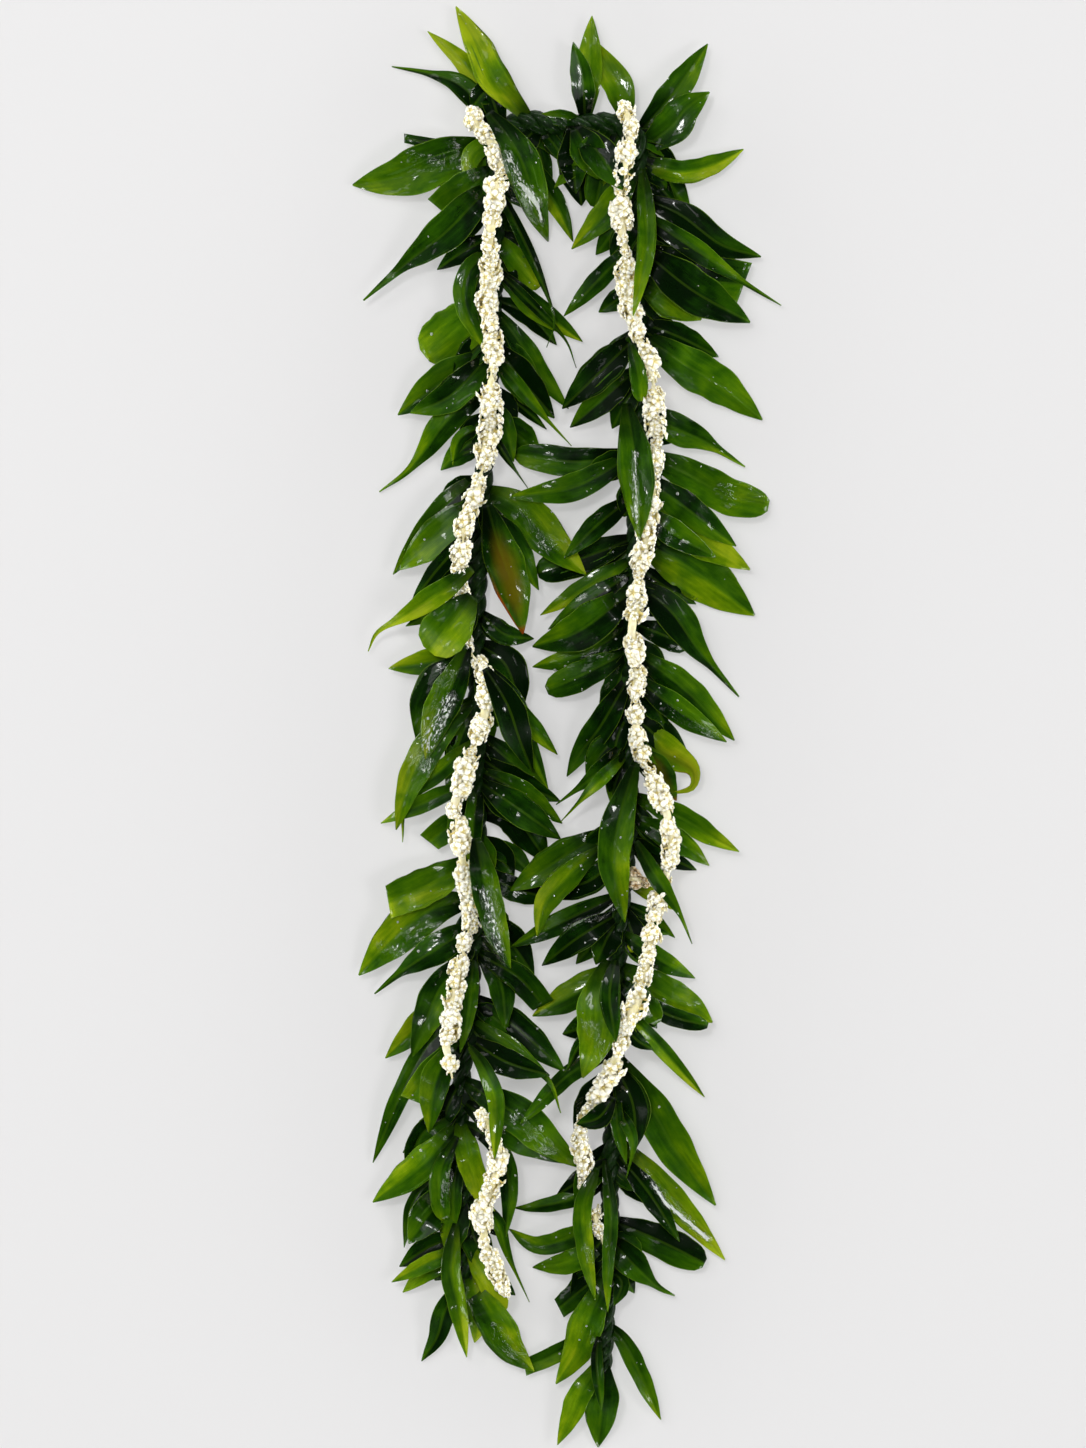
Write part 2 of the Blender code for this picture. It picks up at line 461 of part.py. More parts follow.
def tube_mesh(name, rings):
    """A closed mesh through rings of corners, its walls split into triangles."""
    shape = bmesh.new()
    corners = [[shape.verts.new([MM * value for value in corner]) for corner in ring] for ring in rings]
    for ring, after in zip(corners, corners[1:]):
        for index in range(len(ring)):
            other = (index + 1) % len(ring)
            shape.faces.new((ring[index], ring[other], after[other]))
            shape.faces.new((ring[index], after[other], after[index]))
    shape.faces.new(list(reversed(corners[0])))
    shape.faces.new(corners[-1])
    bmesh.ops.recalc_face_normals(shape, faces=shape.faces)
    mesh = bpy.data.meshes.new(name)
    shape.to_mesh(mesh)
    shape.free()
    return mesh


class Blade:
    """One leaf: corner points at stations along its midrib, V-shaped across."""

    def __init__(self, points, width, outline, root_height):
        draw = random.Random(f"{points[-1]} {width}")
        route = smooth_route(points)
        length = lengths_along(route)[-1]
        steps = int(np.clip(round(length / BLADE_SPAN), *BLADE_STATIONS))
        share = np.linspace(0, 1, steps + 1)
        self.middle = at_lengths(route, share * length)
        heading = directions(at_lengths(route, np.clip(share, 0.01, 0.99) * length))
        self.side = np.stack([-heading[:, 1], heading[:, 0]], axis=1)
        shape = np.array(OUTLINES[outline])
        self.half = np.interp(share, shape[:, 0], shape[:, 1]) * width / 2
        self.half = np.maximum(self.half, LEAST_HALF_WIDTH)
        self.share = share
        self.length = length
        tip_height = FLOOR_GAP + draw.uniform(*TIP_HEIGHTS)
        arch = draw.uniform(*ARCHES) * length / ARCH_LENGTH
        self.height = root_height + (tip_height - root_height) * share + arch * np.sin(math.pi * share**0.8)
        fold = draw.uniform(*FOLDS) * draw.choice((1, 1, -1))
        bank = draw.uniform(*BANKS)
        turns = draw.uniform(*WAVE_TURNS) * share + draw.random()
        wave = WAVE_HEIGHT * width * np.sin(math.tau * turns) * share
        self.lift = np.stack([self.half * (fold + bank) + wave, self.half * (fold - bank) - wave], axis=1)
        self.cut_slant = width * CUT_SLANT * draw.choice((1, -1)) if outline == "cut" else 0.0
        self.heading = heading

    def edges(self):
        """Left edge, midrib and right edge points."""
        lines = []
        for sign, column in ((1, 0), (-1, 1)):
            xy = self.middle + self.side * (sign * self.half)[:, None]
            xy[-1] += self.heading[-1] * sign * self.cut_slant
            lines.append(np.column_stack([xy, self.height + self.lift[:, column]]))
        return lines[0], np.column_stack([self.middle, self.height]), lines[1]

    def half_thickness(self):
        run = np.linalg.norm(np.gradient(self.middle, axis=0), axis=1)
        slope = np.gradient(self.height) / run
        thick = BLADE_THICKNESS / 2 * np.sqrt(1 + np.minimum(slope**2, 4))
        thick[-1] = thick[-1] * (TIP_THICKNESS if self.half[-1] < 1 else 1)
        return thick

    def surface(self):
        """Many points of the blade: place, height underneath, height on top, step and share along the step."""
        left, rib, right = self.edges()
        thick = self.half_thickness()
        gathered = []
        for edge in (left, right):
            across_count = max(3, int(self.half.max() / SAMPLE_STEP) + 1)
            across = np.linspace(0, 1, across_count)
            rows = rib[:, None, :] + (edge - rib)[:, None, :] * across[None, :, None]
            depth = thick[:, None] * (1 - across)[None, :]
            span = self.length / (len(rib) - 1)
            along = np.linspace(0, 1, max(3, int(span / SAMPLE_STEP) + 1))
            for step in range(len(rib) - 1):
                points = rows[step][None] + (rows[step + 1] - rows[step])[None] * along[:, None, None]
                depths = depth[step][None] + (depth[step + 1] - depth[step])[None] * along[:, None]
                shares = np.broadcast_to(along[:, None], depths.shape)
                block = np.column_stack([
                    points.reshape(-1, 3), depths.reshape(-1), np.full(depths.size, step), shares.reshape(-1),
                ])
                gathered.append(block)
        return np.vstack(gathered)

    def mesh(self, name):
        left, rib, right = self.edges()
        thick = self.half_thickness()[:, None] * np.array([[0, 0, 1]])
        shape = bmesh.new()
        lines = [[shape.verts.new(point * MM) for point in line] for line in (left, rib + thick, right, rib - thick)]
        left, top, right, bottom = lines
        for step in range(len(left) - 1):
            for edge, spine in ((left, top), (right, top), (left, bottom), (right, bottom)):
                shape.faces.new((edge[step], spine[step + 1], spine[step]))
                shape.faces.new((edge[step], edge[step + 1], spine[step + 1]))
        for end in (0, -1):
            shape.faces.new((left[end], top[end], bottom[end]))
            shape.faces.new((right[end], bottom[end], top[end]))
        bmesh.ops.recalc_face_normals(shape, faces=shape.faces)
        mesh = bpy.data.meshes.new(name)
        shape.to_mesh(mesh)
        shape.free()
        return mesh


def settle(blade, below, own=None):
    """Raises the blade's stations until it clears what already lies below it."""
    root_fixed = own is not None
    run = np.linalg.norm(np.diff(blade.middle, axis=0), axis=1)
    first = 1 if root_fixed else 0
    for turn in range(SETTLE_TURNS):
        points = blade.surface()
        step = points[:, 4].astype(int)
        share = points[:, 5]
        needed = np.maximum(below.height(points[:, :2]), FLOOR_GAP - LAY_GAP)
        if root_fixed:
            from_root = (blade.share[step] + share * blade.share[1]) * blade.length
            over_own = np.where(from_root > FUSE_REACH, own.height(points[:, :2]), 0)
            needed = np.maximum(needed, over_own)
        short = needed + LAY_GAP - (points[:, 2] - points[:, 3])
        rise = np.zeros(len(blade.height))
        slack = STATION_REACH if turn < SETTLE_TURNS - STRICT_TURNS else 0.0
        np.maximum.at(rise, step, np.where(share <= 1 - slack, short, 0))
        np.maximum.at(rise, step + 1, np.where(share >= slack, short, 0))
        rise[:first] = 0
        blade.height = blade.height + rise
        for index in range(first, len(blade.height) - 1):
            blade.height[index + 1] = max(blade.height[index + 1], blade.height[index] - STEEPEST * run[index])
        for index in range(len(blade.height) - 2, first - 1, -1):
            blade.height[index] = max(blade.height[index], blade.height[index + 1] - STEEPEST * run[index])
        for index in range(first + 1, len(blade.height) - 1):
            chord = (blade.height[index - 1] + blade.height[index + 1]) / 2
            blade.height[index] = max(blade.height[index], chord - SAG * run[index])
    return blade


def mark_rope(surface, rings):
    """Marks the walls of one section of rope on the height map."""
    rings = np.array(rings)
    closed = np.concatenate([rings, rings[:, :1]], axis=1)
    for along in np.linspace(0, 1, ROPE_MARKS_ALONG):
        ring = closed[:-1] + (closed[1:] - closed[:-1]) * along
        for share in np.linspace(0, 1, ROPE_MARKS_ACROSS):
            line = ring[:, :-1] + (ring[:, 1:] - ring[:, :-1]) * share
            surface.raise_to(line.reshape(-1, 3))


def top_points(points):
    return np.column_stack([points[:, :2], points[:, 2] + points[:, 3]])


class BlossomString:
    """A string of blossoms: rings along it whose corners stand in and out like florets."""

    def __init__(self, points):
        points = np.array(points, float)
        places = []
        for index, span in enumerate(np.linalg.norm(np.diff(points[:, :2], axis=0), axis=1)):
            steps = math.ceil(span / BLOSSOM_RING_STEP)
            places += [index + step / steps for step in range(steps)]
        places.append(len(points) - 1)
        shares = np.arange(len(points))
        placed = np.stack([np.interp(places, shares, column) for column in points.T], axis=1)
        self.middle = placed[:, :2]
        self.radius = np.maximum(placed[:, 2], LEAST_BLOSSOM_WIDTH) / 2
        heading = directions(self.middle)
        self.side = np.stack([-heading[:, 1], heading[:, 0]], axis=1)
        self.height = self.radius * BLOSSOM_FLATTEN + ROPE_HEIGHT

    def settle(self, below):
        across = np.linspace(-1, 1, BLOSSOM_MARKS_ACROSS)
        reach = self.radius * (1 + BLOSSOM_KNOB)
        for _ in range(BLOSSOM_TURNS):
            rise = np.zeros(len(self.height))
            for along in np.linspace(0, 1, BLOSSOM_MARKS_ALONG):
                middle = self.middle[:-1] + (self.middle[1:] - self.middle[:-1]) * along
                radius = reach[:-1] + (reach[1:] - reach[:-1]) * along
                height = self.height[:-1] + (self.height[1:] - self.height[:-1]) * along
                side = self.side[:-1]
                for share in across:
                    xy = middle + side * (radius * share)[:, None]
                    under = height - radius * BLOSSOM_FLATTEN * math.sqrt(max(0.0, 1 - share**2))
                    short = np.maximum(below.height(xy), FLOOR_GAP) + LAY_GAP - under
                    np.maximum.at(rise, np.arange(len(short)), short)
                    np.maximum.at(rise, np.arange(1, len(short) + 1), short)
            self.height = self.height + np.maximum(rise, 0)
            for _ in range(BLOSSOM_SMOOTHING):
                level = (self.height[:-2] + self.height[2:]) / 2
                self.height[1:-1] = np.maximum(self.height[1:-1], level)
            if rise.max() <= 0:
                break
        return self

    def rings(self):
        rings = []
        for index, ((x, y), (side_x, side_y)) in enumerate(zip(self.middle, self.side)):
            ring = []
            for corner in range(BLOSSOM_SIDES):
                angle = math.tau * corner / BLOSSOM_SIDES
                knob = 1 + BLOSSOM_KNOB * (1 if (index + corner) % 2 else -1)
                out = self.radius[index] * knob * math.cos(angle)
                up = self.radius[index] * knob * BLOSSOM_FLATTEN * math.sin(angle)
                ring.append((x - side_x * out, y - side_y * out, self.height[index] + up))
            rings.append(ring)
        return rings

    def cover(self, surface):
        """Marks the string's upper side on the height map."""
        for along in np.linspace(0, 1, BLOSSOM_MARKS_ALONG):
            middle = self.middle[:-1] + (self.middle[1:] - self.middle[:-1]) * along
            radius = (self.radius[:-1] + (self.radius[1:] - self.radius[:-1]) * along) * (1 + BLOSSOM_KNOB)
            height = self.height[:-1] + (self.height[1:] - self.height[:-1]) * along
            for share in np.linspace(-1, 1, BLOSSOM_MARKS_ACROSS):
                xy = middle + self.side[:-1] * (radius * share)[:, None]
                top = height + radius * BLOSSOM_FLATTEN * math.sqrt(max(0.0, 1 - share**2))
                surface.raise_to(np.column_stack([xy, top]))


def add_object(name, mesh, material):
    obj = bpy.data.objects.new(name, mesh)
    bpy.context.scene.collection.objects.link(obj)
    mesh.materials.append(material)
    return obj


def keep_largest_shell(mesh):
    """Fills cavities that the union sealed, and drops scraps that hang free."""
    shape = bmesh.new()
    shape.from_mesh(mesh)
    bmesh.ops.remove_doubles(shape, verts=shape.verts, dist=MM * 1e-3)
    shells = []
    left = set(shape.faces)
    while left:
        shell = []
        edge = [left.pop()]
        while edge:
            face = edge.pop()
            shell.append(face)
            near = {other for rim in face.edges for other in rim.link_faces} & left
            left -= near
            edge.extend(near)
        shells.append(shell)
    shells.sort(key=len)
    for shell in shells[:-1]:
        bmesh.ops.delete(shape, geom=shell, context="FACES")
    shape.to_mesh(mesh)
    shape.free()


def fuse(rope_section, blades):
    """One Boolean union joins the section of rope and its leaves."""
    group = bpy.data.collections.new(rope_section.name + "_leaves")
    bpy.context.scene.collection.children.link(group)
    for index, blade in enumerate(blades):
        leaf = bpy.data.objects.new(f"{rope_section.name}_leaf_{index}", blade.mesh("leaf"))
        group.objects.link(leaf)
    union = rope_section.modifiers.new("union", "BOOLEAN")
    union.operation = "UNION"
    union.operand_type = "COLLECTION"
    union.collection = group
    union.solver = "EXACT"
    graph = bpy.context.evaluated_depsgraph_get()
    fused = bpy.data.meshes.new_from_object(rope_section.evaluated_get(graph))
    rope_section.modifiers.remove(union)
    for leaf in list(group.objects):
        bpy.data.objects.remove(leaf, do_unlink=True)
    bpy.data.collections.remove(group)
    keep_largest_shell(fused)
    rope_section.data = fused


def points_of(mesh):
    return np.array([vertex.co for vertex in mesh.vertices])


def tree_of(meshes):
    """One search tree over the faces of several meshes."""
    points = []
    faces = []
    for mesh in meshes:
        first = len(points)
        points.extend(vertex.co for vertex in mesh.vertices)
        faces.extend([first + corner for corner in face.vertices] for face in mesh.polygons)
    return BVHTree.FromPolygons(points, faces)


def edge_points(mesh):
    """Points close together along every edge of a mesh."""
    points = points_of(mesh)
    gathered = []
    for edge in mesh.edges:
        start, end = points[list(edge.vertices)]
        count = math.ceil(np.linalg.norm(end - start) / (SEAT_STEP * MM)) + 1
        gathered.append(start + (end - start) * np.linspace(0, 1, count)[:, None])
    return np.vstack(gathered)


def free_drop(mesh, laid_objects):
    """How far a mesh sinks until the seat gap is left over what was laid before it, or the floor gap."""
    laid = [obj.data for obj in laid_objects]
    under, piece = tree_of(laid), tree_of([mesh])
    free = [under.ray_cast(Vector(point), Vector((0, 0, -1)))[3] for point in edge_points(mesh)]
    own = points_of(mesh)
    low, high = own.min(axis=0), own.max(axis=0)
    for points in map(points_of, laid):
        inside = ((points[:, :2] > low[:2]) & (points[:, :2] < high[:2])).all(axis=1)
        free += [piece.ray_cast(Vector(point), Vector((0, 0, 1)))[3] for point in points[inside]]
    drop = min(gap for gap in free if gap is not None) / MM - SEAT_GAP
    return min(drop, low[2] / MM - FLOOR_GAP)


def section_names(rope):
    names = {}
    counts = {"left": 0, "neck": 0, "right": 0}
    for section in range(ROPE_SECTIONS):
        x, y = rope.middle_of(section)
        part = "neck" if y > NECK_Y else ("left" if x < -20 else "right")
        counts[part] += 1
        names[section] = f"leaves_{part}_{counts[part]:02d}"
    return names


def short_leaves(rope, section):
    """A short leaf on one side of the section, slanting towards the tail; none at the tails."""
    draw = random.Random(section)
    place = (section + draw.uniform(*SHORT_LEAF_PLACES)) * rope.section_length
    x, y = at_lengths(rope.route, [place])[0]
    if y < SHORT_LEAF_TAIL_Y:
        return []
    length = draw.uniform(*SHORT_LEAF_LENGTHS)
    angle = math.radians(draw.uniform(*SHORT_LEAF_ANGLES)) * (1 if section % 2 else -1)
    bent = angle * SHORT_LEAF_BEND
    middle = (x + 0.5 * length * math.sin(bent), y - 0.5 * length * math.cos(bent))
    tip = (x + length * math.sin(angle), y - length * math.cos(angle))
    return [Blade([(x, y), middle, tip], draw.uniform(*SHORT_LEAF_WIDTHS), "point", ROPE_HEIGHT)]


def center_all():
    """Moves every mesh so that the lei's box stands centred on the origin."""
    points = np.array([vertex.co for obj in bpy.data.objects for vertex in obj.data.vertices])
    low = points.min(axis=0)
    high = points.max(axis=0)
    shift = np.array([-(low[0] + high[0]) / 2, -(low[1] + high[1]) / 2, -low[2]])
    for obj in bpy.data.objects:
        for vertex in obj.data.vertices:
            vertex.co = vertex.co + type(vertex.co)(shift)
    print("size", (high - low) / MM, "shift", shift / MM)


def build():
    clear_scene()
    leaf_material = principled("ti_leaf", LEAF_COLOR, 0.25)
    blossom_material = principled("blossoms", BLOSSOM_COLOR, 0.5)
    rope = Rope()
    names = section_names(rope)
    ropes_by_section = [rope.rings(section) for section in range(ROPE_SECTIONS)]
    leaves_by_section = [short_leaves(rope, section) for section in range(ROPE_SECTIONS)]
    for points, width, outline in ROPE_LEAVES:
        section, place = rope.section_of(points[0])
        root = tuple(at_lengths(rope.route, [place])[0])
        leaves_by_section[section].append(Blade([root] + points[1:], width, outline, ROPE_HEIGHT))
    placed = HeightMap()
    whole_rope = HeightMap()
    for rings in ropes_by_section:
        mark_rope(whole_rope, rings)
    order = sorted(range(ROPE_SECTIONS), key=lambda section: rope.middle_of(section)[1])
    for section in order:
        below = HeightMap()
        below.top = placed.top.copy()
        for other, rings in enumerate(ropes_by_section):
            if other != section and abs(other - section) <= LONGEST_LEAF_SECTIONS:
                mark_rope(below, rings)
        own = HeightMap()
        mark_rope(own, ropes_by_section[section])
        for blade in leaves_by_section[section]:
            settle(blade, below, own)
            own.raise_to(top_points(blade.surface()))
        placed.top = np.maximum(placed.top, own.top)
        body = add_object(names[section], tube_mesh(names[section], ropes_by_section[section]), leaf_material)
        fuse(body, leaves_by_section[section])
    placed.top = np.maximum(placed.top, whole_rope.top)
    for name, points in BLOSSOM_STRINGS.items():
        string = BlossomString(points).settle(placed)
        string.height -= free_drop(tube_mesh(name, string.rings()), bpy.data.objects)
        string.cover(placed)
        add_object(name, tube_mesh(name, string.rings()), blossom_material)
    for name, (points, width, outline) in FRONT_LEAVES.items():
        blade = settle(Blade(points, width, outline, ROPE_HEIGHT), placed)
        blade.height -= free_drop(blade.mesh(name), bpy.data.objects)
        placed.raise_to(top_points(blade.surface()))
        add_object(name, blade.mesh(name), leaf_material)
    center_all()


build()
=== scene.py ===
import math
import random
import bpy
import numpy as np
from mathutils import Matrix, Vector


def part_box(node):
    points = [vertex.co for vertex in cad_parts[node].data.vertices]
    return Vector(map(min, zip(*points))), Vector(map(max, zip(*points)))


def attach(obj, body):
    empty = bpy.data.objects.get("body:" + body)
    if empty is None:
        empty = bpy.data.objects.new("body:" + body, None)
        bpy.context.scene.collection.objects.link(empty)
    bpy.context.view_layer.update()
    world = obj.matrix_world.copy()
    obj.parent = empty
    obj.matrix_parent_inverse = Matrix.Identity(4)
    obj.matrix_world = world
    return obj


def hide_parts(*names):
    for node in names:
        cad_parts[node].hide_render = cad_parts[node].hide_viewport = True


# A ti leaf lei laid out flat. The plan, the tables and the shapes of leaves and florets are in millimetres.
# Meshes, materials and node trees are in metres.
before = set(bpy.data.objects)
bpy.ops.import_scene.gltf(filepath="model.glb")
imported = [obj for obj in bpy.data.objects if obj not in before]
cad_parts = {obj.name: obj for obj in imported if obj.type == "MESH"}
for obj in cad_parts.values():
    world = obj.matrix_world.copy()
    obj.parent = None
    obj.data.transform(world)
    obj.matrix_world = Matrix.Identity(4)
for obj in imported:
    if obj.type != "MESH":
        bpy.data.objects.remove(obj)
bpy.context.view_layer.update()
mm = 0.001

# The same plan that the solids were laid by: the middle line of the rope, then every leaf and string on it.
plan = {
    "width": 274, "length": 920, "mapMargin": 30, "laidShift": (-0.131, -0.64814),
    "ropeSections": 30, "ropeRadius": 6.4, "neckRadius": 8.2, "neckY": 372, "ropeSides": 7,
    "ropeRingStep": 14.0, "ropeTwist": 34.0, "ropeLobe": 0.13, "ropeHeight": 7.6, "ropeUnderside": 1.4,
    "sectionGap": 0.3, "leftOf": -20,
    "rootClear": (12.0, 9.0), "feet": [(-66, -300), (4, 384), (28, -290)], "ropeMarks": (17, 7),
    "bladeThickness": 1.3, "bladeSpan": 18.5, "bladeSpans": (3, 6), "leastHalf": 0.7, "cutSlant": 0.1,
    "tipLifts": (1, 9), "arches": (1.5, 7), "folds": (0.1, 0.3), "banks": (-0.14, 0.14),
    "edgeWave": 0.05, "edgeTurns": (1.1, 1.7), "archLength": 80, "archPower": 0.8, "pointThins": 0.6,
    "fuseReach": 13.0, "layGap": 0.5, "floorGap": 1.6, "steepest": 0.85, "sag": 0.06,
    "settleTurns": 14, "looseTurns": 11, "looseShare": 0.35, "sampleStep": 1.1, "reachSections": 4,
    "blossomStep": 8.5, "blossomLeast": 3.6, "blossomKnob": 0.15, "blossomFlatten": 0.9,
    "blossomMarks": (7, 15), "blossomSides": 6, "stringTurns": 12, "levelTurns": 6,
    "shortPlaces": (0.28, 0.72), "shortLengths": (27, 37), "shortWidths": (15, 19), "shortAngles": (22, 48),
    "shortBend": 1.15, "shortTone": 0.12, "shortTailY": -335,
}
outlines = {
    "point": [(0, 0.24), (0.2, 0.66), (0.42, 1.0), (0.6, 0.96), (0.78, 0.66), (0.9, 0.36), (1, 0.04)],
    "long": [(0, 0.3), (0.15, 0.74), (0.35, 1.0), (0.65, 0.9), (0.85, 0.52), (1, 0.05)],
    "tail": [(0, 0.3), (0.2, 0.86), (0.4, 1.0), (0.58, 0.66), (0.72, 0.3), (0.88, 0.15), (1, 0.05)],
    "cut": [(0, 0.24), (0.2, 0.6), (0.45, 0.92), (0.7, 1.0), (1, 0.86)],
    "blunt": [(0, 0.26), (0.2, 0.62), (0.45, 0.94), (0.7, 1.0), (0.88, 0.84), (0.96, 0.6), (1, 0.3)],
}
ropeRoute = [
    (-62, -372), (-64, -340), (-66, -300), (-68, -262), (-68, -232), (-65, -200), (-61, -160), (-58, -110),
    (-57, -60), (-57, 0), (-58, 50), (-57, 100), (-54, 150), (-50, 200), (-48, 250), (-46, 300), (-46, 345),
    (-46, 366), (-42, 379), (-31, 386), (-16, 386), (2, 384), (20, 385), (33, 385), (43, 378), (46, 365),
    (46, 340), (46, 300), (46, 250), (46, 200), (45, 150), (43, 100), (41, 50), (39, 0), (40, -50),
    (36, -100), (33, -140), (32, -190), (30, -240), (28, -290), (26, -340), (25, -375), (22, -414),
]
